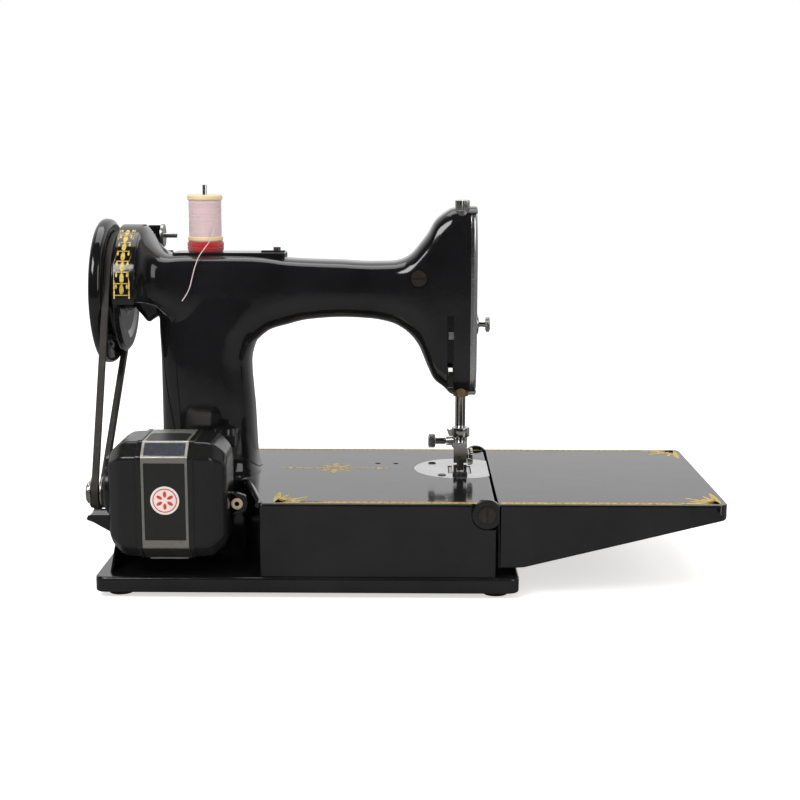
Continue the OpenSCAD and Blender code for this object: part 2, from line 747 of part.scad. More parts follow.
module upright_gears() {
    upper_z = shaft_z - upper_gear_r;
    lower_z = hook_z + pinion_r;
    color(steel)
        difference() {
            union() {
                translate([apex[0], apex[1], upper_z])
                    rotate(180/upper_teeth)
                        bevel_gear(upper_gear_r, upper_gear_r, upper_teeth, 1, 1.3);
                translate([apex[0], apex[1], lower_z])
                    rotate([180, 0, 180/(2*pinion_teeth)])
                        bevel_gear(big_gear_r, pinion_r, 2*pinion_teeth, 0.8, 1.2);
                rod_z(upper_z - 5, upper_z + 1, apex, 8);
                rod_z(lower_z - 1, lower_z + 5, apex, 8);
            }
            rod_z(lower_z - 10, upper_z + 10, apex, upright_r);
        }
}

module arm_shaft() {
    color(steel)
        rod_x(belt_x - 10, 82, [arm_y, shaft_z], shaft_r);
}

module arm_gear() {
    back_x = upright_x + upper_gear_r;
    color(steel)
        difference() {
            union() {
                translate([back_x, arm_y, shaft_z])
                    rotate([0, -90, 0])
                        bevel_gear(upper_gear_r, upper_gear_r, upper_teeth, 1, 1.3);
                rod_x(back_x - 1, back_x + 7, [arm_y, shaft_z], 9);
            }
            rod_x(back_x - 10, back_x + 10, [arm_y, shaft_z], shaft_r);
        }
}

module hook_pinion() {
    translate([upright_x + big_gear_r, arm_y, hook_z])
        rotate([0, -90, 0])
            bevel_gear(pinion_r, big_gear_r, pinion_teeth, 0.6, 1);
}

module shaft_bushings() {
    color([0.62, 0.5, 0.25]) {
        bush_x(-119, -99);
        bush_x(59, 77);
        for (z = [[bed_h, bed_h + 13.5], [bed_h + 78, bed_h + 88]])
            difference() {
                rod_z(z[0], z[1], apex, bush_r);
                rod_z(z[0] - 1, z[1] + 1, apex, upright_r + run_c);
            }
        for (y = [needle_y, presser_y])
            difference() {
                rod_z(head_bottom + 0.3, head_bottom + 14, [needle_x, y], bar_bush_r);
                rod_z(head_bottom - 2, head_bottom + 15, [needle_x, y], bar_r + run_c);
            }
    }
}

module bush_x(x0, x1) {
    difference() {
        rod_x(x0, x1, [arm_y, shaft_z], bush_r);
        rod_x(x0 - 1, x1 + 1, [arm_y, shaft_z], shaft_r + run_c);
    }
}

module crank_disc() {
    color(steel)
        difference() {
            rod_x(79, crank_x, [arm_y, shaft_z], 11.5);
            rod_x(78, 82, [arm_y, shaft_z], shaft_r);
        }
}

module needle_bar() {
    color(nickel)
        difference() {
            rod_z(clamp_z + 4, bridge_z + 1.5, [needle_x, needle_y], bar_r);
            rod_z(clamp_z, clamp_z + 12, [needle_x, needle_y], needle_shank_r);
        }
}

module needle_bar_link() {
    color(steel)
        difference() {
            union() {
                rod_z(link_z - 1, link_z + 6, [needle_x, needle_y], 4.8);
                block([link_x, needle_y - 3.5, link_z], [needle_x - 3.6, needle_y + 3.5, link_z + 5]);
                block([link_x, needle_y - 3.5, link_z], [link_x + 2.4, needle_y + 3.5, crank_pin_z]);
                rod_x(link_x, link_x + 2.4, [needle_y, crank_pin_z], 5);
            }
            rod_z(link_z - 2, link_z + 8, [needle_x, needle_y], bar_r);
            rod_x(link_x - 1, link_x + 3, [needle_y, crank_pin_z], 2);
        }
}

module needle_clamp() {
    color(nickel)
        difference() {
            union() {
                rod_z(clamp_z - 2, clamp_z + 8, [needle_x, needle_y], 5.2);
                rod_x(needle_x - 9, needle_x, [needle_y, clamp_z + 2], 3.2);
            }
            rod_z(clamp_z + 4, clamp_z + 9, [needle_x, needle_y], bar_r);
            rod_z(clamp_z - 3, clamp_z + 5, [needle_x, needle_y], needle_shank_r);
            rod_x(needle_x - 10, needle_x - needle_shank_r, [needle_y, clamp_z + 2], 1.5 + run_c);
        }
}

module knurled(x0, x1, yz, r) {
    difference() {
        rod_x(x0, x1, yz, r);
        for (a = [0:20:340])
            rod_x(x0 - 1, x1 + 1, [yz[0] + r*cos(a), yz[1] + r*sin(a)], 0.45);
    }
}

module needle_clamp_screw() {
    color(nickel) {
        knurled(needle_x - 21, needle_x - 16, [needle_y, clamp_z + 2], 4.6);
        rod_x(needle_x - 16, needle_x - 9.4, [needle_y, clamp_z + 2], 2.4);
        rod_x(needle_x - 9.4, needle_x - needle_shank_r - 0.1, [needle_y, clamp_z + 2], 1.5);
    }
}

module needle() {
    color(steel) {
        rod_z(clamp_z - 6, clamp_z + 10, [needle_x, needle_y], needle_shank_r);
        rod_z(bed_h - 13, clamp_z - 6, [needle_x, needle_y], needle_r);
    }
}

module take_up_lever() {
    half = 1.5;
    color(nickel)
        difference() {
            union() {
                rod_x(take_x - half, take_x + half, take_pin, 4.2);
                rod_x(take_x - half, take_x + half, take_eye, 3);
                translate([take_x - half, 0, 0])
                    rotate([90, 0, 90])
                        linear_extrude(2*half)
                            polygon([take_pin + [-1, 3], take_eye + [-1, 2.4], take_eye + [1, -2.4],
                                take_pin + [1, -3]]);
            }
            rod_x(take_x - 2*half, take_x + 2*half, take_pin, pivot_r + run_c);
            rod_x(take_x - 2*half, take_x + 2*half, take_eye, 1.1);
        }
}

module presser_bar() {
    color(nickel) {
        rod_z(holder_top - 6, 220 - foot_lift, [needle_x, presser_y], bar_r);
        // lifting collar
        rod_z(collar_z, collar_z + 6, [needle_x, presser_y], 4.8);
        block([lifter_x - 1, presser_y - 3, collar_z], [needle_x - 3, presser_y + 3, collar_z + 5]);
    }
}

module thread_cutter() {
    z = holder_top + 4;
    color(nickel)
        difference() {
            union() {
                rod_z(z, z + 6, [needle_x, presser_y], 5.6);
                translate([needle_x, presser_y - 1.5, z])
                    cube([6, 3, 6]);
                translate([0, presser_y + 1, 0])
                    rotate([90, 0, 0])
                        linear_extrude(2)
                            polygon([[needle_x - 9.2, z + 5.4], [needle_x - 7, z + 4.2], [needle_x - 4, z + 6],
                                [needle_x - 4, z], [needle_x - 7.5, z + 0.4]]);
            }
            rod_z(z - 1, z + 7, [needle_x, presser_y], bar_r);
        }
}

module foot_holder() {
    color(nickel)
        difference() {
            union() {
                block([needle_x - 4.4, presser_y - 4.4, sole_z + 8], [needle_x + 4.2, presser_y + 4.4, holder_top]);
                block([needle_x - 2.2, presser_y - 2, sole_z + 2.5], [needle_x + 2.2, presser_y + 6.5, sole_z + 8]);
            }
            rod_z(holder_top - 6, holder_top + 1, [needle_x, presser_y], bar_r);
            rod_x(needle_x - 6, needle_x + 6, foot_pin, 1.2 + run_c);
            rod_x(needle_x, needle_x + 6, [presser_y, holder_top - 9.5], 1.6);
        }
}

module presser_foot() {
    color(nickel) {
        difference() {
            block([needle_x - 5, -3, sole_z], [needle_x + 5, needle_y + 11, sole_z + 1.8]);
            block([needle_x - 1.6, needle_y - 3, sole_z - 1], [needle_x + 1.6, needle_y + 12, sole_z + 3]);
        }
        for (s = [-1, 1])
            block([needle_x + s*3.4 - 1, presser_y - 1, sole_z + 1.8], [needle_x + s*3.4 + 1, presser_y + 5.5, sole_z + 6]);
        rod_x(needle_x - 2.4, needle_x + 2.4, foot_pin, 1.2);
    }
}

module foot_screw() {
    z = holder_top - 9.5;
    color(nickel) {
        rod_x(needle_x + 1, needle_x + 4.6, [presser_y, z], 1.55);
        knurled(needle_x + 4.6, needle_x + 8.4, [presser_y, z], 5.7);
    }
}

module presser_spring() {
    turns = 9;
    steps = 14;
    wire = 0.6;
    z0 = collar_z + 6 + wire;
    h = pressure_end - wire - z0;
    color(steel)
        loft([for (i = [0:turns*steps]) let (a = 360*i/steps, z = z0 + h*i/(turns*steps))
            [for (k = [5:-1:0]) let (b = 60*k)
                [needle_x + (spring_r + wire*cos(b))*cos(a), presser_y + (spring_r + wire*cos(b))*sin(a),
                 z + wire*sin(b)]]]);
}

module pressure_screw() {
    color(nickel)
        difference() {
            rod_z(pressure_end, head_top + 4.5, [needle_x, presser_y], pressure_r);
            for (a = [0:20:340])
                rod_z(head_top, head_top + 6, [needle_x + pressure_r*cos(a), presser_y + pressure_r*sin(a)], 0.4);
            rod_z(pressure_end - 1, 222, [needle_x, presser_y], bar_r + run_c);
        }
}

module presser_lifter() {
    color(nickel)
        translate([lifter_x - 1.6, 0, 0])
            rotate([90, 0, 90])
                linear_extrude(3.2)
                    difference() {
                        union() {
                            translate(lifter_pin)
                                circle(4);
                            translate(lifter_pin)
                                polygon([[0, 4], [-12, 3], [-15, 0.5], [-16.8, -9.5], [-15, -12], [-13.4, -9.5],
                                    [-12.4, -3], [0, -4]]);
                        }
                        translate(lifter_pin)
                            circle(pivot_r + run_c);
                    }
}

module face_plate() {
    gap = 0.3;
    color(nickel)
        difference() {
            union() {
                intersection() {
                    loft([for (s = [[0, 0], [2.4, 0], [4, 1], [4.8, 3]])
                        arm_ring([head_end + s[0], head_bottom, head_mid, head_top, head_hd - 0.8, 4.8], s[1])]);
                    block([head_end - 1, arm_y - 40, head_bottom + lip_h + gap],
                        [head_end + 20, arm_y + 40, head_top - lip_h - gap]);
                }
                // raised cushion in the middle of the plate
                rod_x(head_end + 3, head_end + 6.6, face_screw, 7);
            }
            rod_x(head_end - 1, head_end + 9, face_screw, 2.05);
        }
}

module face_plate_screw() {
    color(nickel) {
        rod_x(head_end - 1.5, head_end + 10.5, face_screw, 2);
        knurled(head_end + 10.5, head_end + 13.5, face_screw, 5.2);
    }
}

module tension_discs() {
    color(nickel)
        difference() {
            union() {
                rod_y(tension_y, tension_y + 2.5, tension_at, 12);
                rod_y(tension_y + 2.5, tension_y + 3.3, tension_at, 9);
                rod_y(tension_y + 3.6, tension_y + 4.4, tension_at, 9);
                rod_y(tension_y + 2.5, tension_y + 9, tension_at, 3.6);
            }
            rod_y(tension_y - 1, tension_y + 10, tension_at, stud_r);
        }
    color(steel)
        rod_y(tension_y - 6, tension_y + 19, tension_at, stud_r);
}

module tension_nut() {
    color(nickel)
        difference() {
            rod_y(tension_y + 10, tension_y + 17, tension_at, 7);
            rod_y(tension_y + 9, tension_y + 20, tension_at, stud_r + run_c);
            for (a = [0:30:330])
                rod_y(tension_y + 12, tension_y + 18, [tension_at[0] + 7.4*cos(a), tension_at[1] + 7.4*sin(a)], 0.9);
        }
}

module bobbin_case() {
    x0 = needle_x + 2.4;
    color(steel) {
        difference() {
            rod_x(x0, x0 + 10.5, [arm_y, hook_z], 12.4);
            rod_x(x0 - 1, x0 + 9, [arm_y, hook_z], 10.4);
            block([x0 - 1, arm_y - 5, hook_z + 6], [x0 + 4, arm_y + 3, hook_z + 14]);
        }
        rod_x(x0 + 0.6, x0 + 9.5, [arm_y, hook_z], 3);
        // finger that holds the case under the bed
        block([x0 + 6, arm_y + 11, hook_z - 2], [x0 + 10, arm_y + 15, bed_under]);
    }
}

module bobbin() {
    x0 = needle_x + 3.2;
    color(steel)
        difference() {
            union() {
                rod_x(x0, x0 + 0.8, [arm_y, hook_z], 9.9);
                rod_x(x0, x0 + 7.4, [arm_y, hook_z], 5);
                rod_x(x0 + 6.6, x0 + 7.4, [arm_y, hook_z], 9.9);
            }
            rod_x(x0 - 1, x0 + 9, [arm_y, hook_z], 3 + run_c);
        }
}

// Profile of the hand wheel as [radius, x]
module hand_wheel() {
    g0 = belt_x - belt_w/2 - slide_c;
    g1 = belt_x + belt_w/2 + slide_c;
    color(black)
        translate([0, arm_y, shaft_z])
            rotate([0, 90, 0])
                rotate_extrude()
                difference() {
                    union() {
                        translate([shaft_r, g0 - 5])
                            square([8, g1 + 8 - g0]);
                        translate([shaft_r, g0 - 2])
                            square([belt_flange_r - shaft_r, g1 + 3.4 - g0 + 2]);
                        translate([28, g0 - 5])
                            square([wheel_r - 32, 5]);
                        translate([wheel_r - 4.2, g0 - 3.2])
                            circle(4.2);
                    }
                    translate([belt_in_R - slide_c, g0])
                        square([30, g1 - g0]);
                }
}

module stop_motion_knob() {
    x1 = belt_x - belt_w/2 - slide_c - 5;
    color(nickel)
        difference() {
            union() {
                knurled(x1 - 5.5, x1 - 0.3, [arm_y, shaft_z], knob_r);
                rod_x(x1 - 8, x1 - 5.5, [arm_y, shaft_z], knob_r - 4);
            }
            rod_x(x1 - 4, x1, [arm_y, shaft_z], shaft_r + run_c);
        }
}

module belt_loop(R, r) {
    hull() {
        circle(R);
        translate(belt_drop)
            circle(r);
    }
}

module drive_belt() {
    color(rubber)
        translate([belt_x - belt_w/2, arm_y, shaft_z])
            rotate([90, 0, 90])
                linear_extrude(belt_w)
                    difference() {
                        belt_loop(belt_R, belt_r);
                        belt_loop(belt_in_R, belt_in_r);
                    }
}

// Section of the motor, drawn in by d
module motor_section(d = 0) {
    h = motor_hh - d;
    w = motor_hd - d;
    c = motor_c;
    polygon([[-w, -h + c], [-w + c, -h], [w - c, -h], [w, -h + c], [w, h - c], [w - c, h], [-w + c, h], [-w, h - c]]);
}

module motor_slice(x, d, t = 0.01) {
    translate([x, motor_y, motor_z])
        rotate([90, 0, 90])
            linear_extrude(t)
                motor_section(d);
}

// One end shell: side -1 is the pulley end, 1 the far end
module motor_shell(side, d) {
    hull() {
        motor_slice(motor_x + side*(band_w/2 + 0.01), 0.6 + d);
        motor_slice(motor_x + side*(motor_hw - 9), 1.2 + d);
        motor_slice(motor_x + side*(motor_hw - 2.5 - d/2), 5 + d);
        motor_slice(motor_x + side*(motor_hw - d), 9 + d);
    }
}

module motor_shells() {
    left = motor_x - motor_hw;
    color(black)
        difference() {
            union() {
                for (side = [-1, 1])
                    difference() {
                        motor_shell(side, 0);
                        motor_shell(side, shell_t);
                    }
                // bearing boss and guard tab at the pulley end
                rod_x(left - 3.6, left + 8, [motor_y, motor_z + 3], 16.5);
                block([left - 3, motor_y - 10, motor_z + 19], [left + 4, motor_y + 4, motor_z + 23.5]);
                translate([0, motor_y + 8, 0])
                    rotate([90, 0, 0])
                        linear_extrude(16)
                            polygon([[left + 2, motor_z - 13], [left - 14, motor_z - 13], [left - 15, motor_z - 15],
                                [left - 11, motor_z - 16.5], [left + 2, motor_z - 24]]);
            }
            rod_x(left - 30, left + 60, [motor_y, motor_z], motor_shaft_r + run_c);
            rod_x(left + 5, left + 60, [motor_y, motor_z], 12);
        }
}

module motor_band() {
    x0 = motor_x - band_w/2;
    color([0.1, 0.1, 0.1])
        translate([x0, motor_y, motor_z])
            rotate([90, 0, 90])
                linear_extrude(band_w)
                    difference() {
                        motor_section(0);
                        motor_section(shell_t);
                    }
    // lip under the band
    color(nickel)
        block([x0 + 2, motor_y - 16, motor_z - motor_hh - 1.6], [x0 + band_w - 2, motor_y + 16, motor_z - motor_hh]);
}

module motor_core() {
    color(steel)
        translate([motor_x - 11, motor_y, motor_z])
            rotate([90, 0, 90])
                linear_extrude(22)
                    difference() {
                        motor_section(shell_t);
                        circle(17);
                    }
}

module motor_shaft() {
    color(steel) {
        rod_x(belt_x - 3.5, motor_x + motor_hw - 5, [motor_y, motor_z], motor_shaft_r);
        difference() {
            rod_x(motor_x - 10, motor_x + 10, [motor_y, motor_z], 16.4);
            rod_x(motor_x - 11, motor_x + 11, [motor_y, motor_z], motor_shaft_r);
        }
        difference() {
            rod_x(motor_x + 13, motor_x + 22, [motor_y, motor_z], 9);
            rod_x(motor_x + 12, motor_x + 23, [motor_y, motor_z], motor_shaft_r);
        }
    }
}

module motor_pulley() {
    g = belt_w/2 + slide_c;
    color(steel)
        difference() {
            union() {
                rod_x(belt_x - g - 1.2, belt_x - g, [motor_y, motor_z], belt_r - 0.9);
                rod_x(belt_x - g, belt_x + g, [motor_y, motor_z], belt_in_r - slide_c);
                rod_x(belt_x + g, belt_x + g + 1.4, [motor_y, motor_z], belt_r - 0.9);
                rod_x(belt_x - g - 4, belt_x - g - 1.2, [motor_y, motor_z], 6.9);
            }
            rod_x(belt_x - 3.5, belt_x + 20, [motor_y, motor_z], motor_shaft_r);
            block([belt_x - g - 5, motor_y - 0.5, motor_z - 8], [belt_x - g - 3.2, motor_y + 0.5, motor_z + 8]);
        }
}

module motor_bracket() {
    y1 = arm_y - pillar_hd;
    y0 = motor_y + motor_hd;
    color(black) {
        difference() {
            block([-66, y0, 84], [-48, y1, 91]);
            rod_z(80, 95, mount_screw, 2.5);
        }
        block([-64, y0, 60], [-52, y0 + 4, 84]);
    }
    color(steel)
        difference() {
            union() {
                rod_z(91, 94, mount_screw, 6.5);
                rod_z(78, 91, mount_screw, 2.48);
            }
            block([mount_screw[0] - 9, mount_screw[1] - 0.6, 93.2], [mount_screw[0] + 9, mount_screw[1] + 0.6, 95]);
        }
}

module terminal_lug() {
    x0 = motor_x + motor_hw + 0.02;
    eye = [x0 + 3.8, motor_z - 6.5];
    color(black)
        translate([0, motor_y + 2, 0])
            rotate([90, 0, 0])
                linear_extrude(4)
                    difference() {
                        union() {
                            translate([x0, eye[1] - 6.8])
                                square([2.6, 13.6]);
                            translate(eye)
                                circle(6.8);
                        }
                        translate(eye)
                            circle(3.6);
                        translate([x0 - 8, eye[1] - 8])
                            square([8, 16]);
                    }
    color([0.85, 0.75, 0.55])
        difference() {
            rod_y(motor_y - 2.4, motor_y + 1.5, eye, 3.6);
            rod_y(motor_y - 3, motor_y + 3, eye, 1.5);
        }
}

module bobbin_winder() {
    color(black)
        difference() {
            union() {
                rod_x(winder_x - 4, winder_x + 4, winder_pin, 3);
                rod_x(winder_x - 4, winder_x + 4, winder_at, 3);
                block([winder_x - 4, winder_at[0] - 2.5, winder_pin[1]], [winder_x + 4, winder_at[0] + 5, winder_at[1] + 7]);
            }
            rod_x(winder_x - 5, winder_x + 5, winder_pin, winder_pin_r + run_c);
            rod_x(winder_x - 5, winder_x + 5, winder_at, winder_pin_r + run_c);
        }
}

module winder_spindle() {
    color(steel) {
        rod_x(belt_x - 1.2, winder_x + 15, winder_at, winder_pin_r);
        rod_x(belt_x - 1.2, belt_x + 2.2, winder_at, 7.5);
        rod_x(winder_x + 4.5, winder_x + 6.5, winder_at, winder_flange_r);
    }
}

module spool_pin() {
    color(nickel)
        rod_z(arm_top - 8, arm_top + 43, [spool_x, arm_y], pin_r);
}

module spool_felt() {
    color([0.72, 0.05, 0.05])
        difference() {
            rod_z(arm_top, arm_top + felt_t, [spool_x, arm_y], spool_r + 0.6);
            rod_z(arm_top - 1, arm_top + felt_t + 1, [spool_x, arm_y], pin_r);
        }
}

module thread_spool() {
    z0 = arm_top + felt_t + 0.1;
    color([0.95, 0.83, 0.6])
        difference() {
            union() {
                rod_z(z0, z0 + 3.3, [spool_x, arm_y], spool_r);
                rod_z(z0, z0 + spool_h, [spool_x, arm_y], 6);
                rod_z(z0 + spool_h - 3.5, z0 + spool_h, [spool_x, arm_y], spool_r);
            }
            rod_z(z0 - 1, z0 + spool_h + 1, [spool_x, arm_y], pin_r + run_c);
        }
}

module spool_thread() {
    z0 = arm_top + felt_t + 0.1;
    color([0.97, 0.86, 0.86])
        difference() {
            rod_z(z0 + 3.3, z0 + spool_h - 3.5, [spool_x, arm_y], spool_r - 0.7);
            rod_z(z0, z0 + spool_h, [spool_x, arm_y], 6);
        }
}

thread_route = [[-64.5, 5.6, 219], [-65.6, 3.2, 214], [-67.5, 2.2, 210], [-70, 0.5, 206.5],
    [-72, -3.5, 203.3], [-73.5, -6.4, 200.2], [-75.5, -9, 194], [-77, -10.2, 188], [-78.5, -11, 182],
    [-81, -11.4, 177], [-83.5, -11.6, 173.5]];

function unit(v) = v/norm(v);
function frame_at(i) = let (
        a = thread_route[max(i - 1, 0)],
        b = thread_route[min(i + 1, len(thread_route) - 1)],
        t = unit(b - a),
        u = unit(cross(t, [1, 0, 0.3])))
    [u, cross(t, u)];

module thread_tail() {
    color([0.93, 0.8, 0.8])
        loft([for (i = [0:len(thread_route) - 1]) let (f = frame_at(i))
            [for (k = [0:7]) thread_route[i] + thread_r*(cos(45*k)*f[0] + sin(45*k)*f[1])]]);
}

module stitch_plate() {
    color(nickel)
        difference() {
            union() {
                rod_y(dial_y - 4, dial_y + 1.6, stitch_at, dial_r);
                rod_y(dial_y - 1, dial_y + 9, stitch_at, 3);
            }
            difference() {
                rod_y(dial_y - 0.4, dial_y + 2, stitch_at, dial_r - 1.6);
                rod_y(dial_y - 1, dial_y + 3, stitch_at, 3);
            }
        }
}

module stitch_lever() {
    y0 = dial_y + 1.6 + slide_c;
    color(nickel)
        difference() {
            union() {
                rod_y(y0, y0 + 3, stitch_at, 5);
                block([stitch_at[0] - 2, y0, stitch_at[1]], [stitch_at[0] + 2, y0 + 2.6, stitch_at[1] + 20]);
                rod_y(y0, y0 + 7, [stitch_at[0], stitch_at[1] + 20], 4);
            }
            rod_y(y0 - 1, y0 + 9, stitch_at, 3 + run_c);
        }
}

module lamp() {
    y0 = arm_y + arm_hd;
    color(black)
        difference() {
            union() {
                rod_x(lamp_x - 22, lamp_x + 22, [y0 + 16, lamp_z], 15);
                block([lamp_x - 8, y0, lamp_z + 5], [lamp_x + 8, y0 + 6, lamp_z + 15]);
            }
            rod_x(lamp_x - 20, lamp_x + 20, [y0 + 16, lamp_z], 13.5);
            block([lamp_x - 40, y0 - 10, lamp_z - 35], [lamp_x + 40, y0 + 60, lamp_z - 5]);
        }
    color([0.9, 0.9, 0.85])
        rod_x(lamp_x - 20, lamp_x + 14, [y0 + 16, lamp_z + 3], 7);
}

bed_casting();
drip_tray();
tray_felt();
tray_thumb_nut();
rubber_feet();
extension_table();
table_hinge_screws();
arm_casting();
small_screws();
needle_plate();
feed_dog();
feed_bar();
rotary_hook();
hook_shaft();
bobbin_case();
bobbin();
upright_shaft();
upright_gears();
arm_shaft();
arm_gear();
shaft_bushings();
crank_disc();
needle_bar();
needle_bar_link();
needle_clamp();
needle_clamp_screw();
needle();
take_up_lever();
presser_bar();
thread_cutter();
foot_holder();
presser_foot();
foot_screw();
presser_spring();
pressure_screw();
presser_lifter();
face_plate();
face_plate_screw();
tension_discs();
tension_nut();
hand_wheel();
stop_motion_knob();
drive_belt();
motor_shells();
motor_band();
motor_core();
motor_shaft();
motor_pulley();
motor_bracket();
terminal_lug();
bobbin_winder();
winder_spindle();
spool_pin();
spool_felt();
thread_spool();
spool_thread();
thread_tail();
stitch_plate();
stitch_lever();
lamp();
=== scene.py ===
"""Looks of the sewing machine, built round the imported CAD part. Lengths are millimetres until mesh() scales them."""
import math

import bmesh
import bpy
import numpy as np
from mathutils import Matrix, Vector


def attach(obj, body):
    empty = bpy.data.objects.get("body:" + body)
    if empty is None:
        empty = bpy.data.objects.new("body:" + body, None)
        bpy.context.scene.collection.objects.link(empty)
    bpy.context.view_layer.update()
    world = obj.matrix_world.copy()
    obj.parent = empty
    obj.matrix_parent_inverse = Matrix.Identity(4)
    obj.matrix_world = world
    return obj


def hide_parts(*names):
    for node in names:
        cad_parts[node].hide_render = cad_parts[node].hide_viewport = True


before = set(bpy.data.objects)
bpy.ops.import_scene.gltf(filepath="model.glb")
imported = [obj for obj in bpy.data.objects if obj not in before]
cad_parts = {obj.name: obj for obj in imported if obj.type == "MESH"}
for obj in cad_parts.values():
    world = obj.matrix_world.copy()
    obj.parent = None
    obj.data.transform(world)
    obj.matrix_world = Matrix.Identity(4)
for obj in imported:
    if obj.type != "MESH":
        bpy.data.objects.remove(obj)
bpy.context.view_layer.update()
MM = 0.001
SCENE = bpy.context.scene

# ---------------------------------------------------------------- sizes, as in the part's source
ARM_Y, SHAFT_Z = 15.0, 177.5
BED_H, BED_Y, FLANGE_TOP, FOOT_H = 58.5, 82.5, 13.0, 3.5
BED_END, TABLE_X0, TABLE_X1 = 114.5, 115.7, 254.2
HINGE = (108.9, 52.1)
NEEDLE = (95.2, 14.0)
PLATE_Y, PLATE_R = 18.3, 30.3
HEAD_TOP, HEAD_BOTTOM, HEAD_END = 233.0, 110.5, 100.5
ARM_TOP, SPOOL_X = 203.3, -71.5
BELT_X, MOTOR = -129.0, (-83.4, -65.0, 61.0)
BAND = 14.0

# ---------------------------------------------------------------- camera and cord first
LOOK_YAW, LOOK_DOWN, LOOK_ROLL = math.radians(-0.549), math.radians(9.739), math.radians(0.115)
camera = bpy.data.objects.new("camera", bpy.data.cameras.new("camera"))
SCENE.collection.objects.link(camera)
camera.data.lens = 62.58
camera.data.sensor_width = 36.0
camera.data.clip_start = 0.05
camera.data.clip_end = 20.0
forward = Vector((math.sin(LOOK_YAW) * math.cos(LOOK_DOWN), math.cos(LOOK_YAW) * math.cos(LOOK_DOWN),
                  -math.sin(LOOK_DOWN)))
camera.matrix_world = (Matrix.Translation(Vector((64.146, -895.110, 261.558)) * MM)
                       @ forward.to_track_quat("-Z", "Y").to_matrix().to_4x4()
                       @ Matrix.Rotation(LOOK_ROLL, 4, "Z"))
SCENE.camera = camera

THREAD_ROUTE = [(-64.5, 5.6, 219), (-65.6, 3.2, 214), (-67.5, 2.2, 210), (-70, 0.5, 206.5),
                (-72, -3.5, 203.3), (-73.5, -6.4, 200.2), (-75.5, -9, 194), (-77, -10.2, 188),
                (-78.5, -11, 182), (-81, -11.4, 177), (-83.5, -11.6, 173.5)]


# ---------------------------------------------------------------- node materials
def material(name):
    m = bpy.data.materials.new(name)
    m.use_nodes = True
    nt = m.node_tree
    return m, nt, nt.nodes["Principled BSDF"]


def node(nt, kind, **values):
    n = nt.nodes.new(kind)
    for key, value in values.items():
        if key.startswith("in_"):
            n.inputs[key[3:].replace("_", " ")].default_value = value
        else:
            setattr(n, key, value)
    return n


def coords(nt, scale=(1, 1, 1)):
    c = node(nt, "ShaderNodeTexCoord")
    m = node(nt, "ShaderNodeMapping")
    m.inputs["Scale"].default_value = scale
    nt.links.new(c.outputs["Object"], m.inputs["Vector"])
    return m.outputs["Vector"]


def noise(nt, scale, detail=3.0, rough=0.5, stretch=(1, 1, 1)):
    n = node(nt, "ShaderNodeTexNoise", in_Scale=scale, in_Detail=detail, in_Roughness=rough)
    nt.links.new(coords(nt, stretch), n.inputs["Vector"])
    return n.outputs["Fac"]


def ramp(nt, source, stops):
    r = node(nt, "ShaderNodeValToRGB")
    while len(r.color_ramp.elements) < len(stops):
        r.color_ramp.elements.new(0.5)
    for e, (at, c) in zip(r.color_ramp.elements, stops):
        e.position = at
        e.color = (*c, 1) if hasattr(c, "__len__") else (c, c, c, 1)
    nt.links.new(source, r.inputs["Fac"])
    return r.outputs["Color"]


def bump(nt, bsdf, source, strength, distance):
    b = node(nt, "ShaderNodeBump", in_Strength=strength, in_Distance=distance)
    nt.links.new(source, b.inputs["Height"])
    if bsdf.inputs["Normal"].is_linked:
        nt.links.new(bsdf.inputs["Normal"].links[0].from_socket, b.inputs["Normal"])
    nt.links.new(b.outputs["Normal"], bsdf.inputs["Normal"])
    return b


def mix(nt, fac, a, b):
    m = node(nt, "ShaderNodeMix", data_type="RGBA")
    for socket, value in ((m.inputs["Factor"], fac), (m.inputs["A"], a), (m.inputs["B"], b)):
        if isinstance(value, bpy.types.NodeSocket):
            nt.links.new(value, socket)
        else:
            socket.default_value = (*value, 1) if hasattr(value, "__len__") else value
    return m.outputs["Result"]


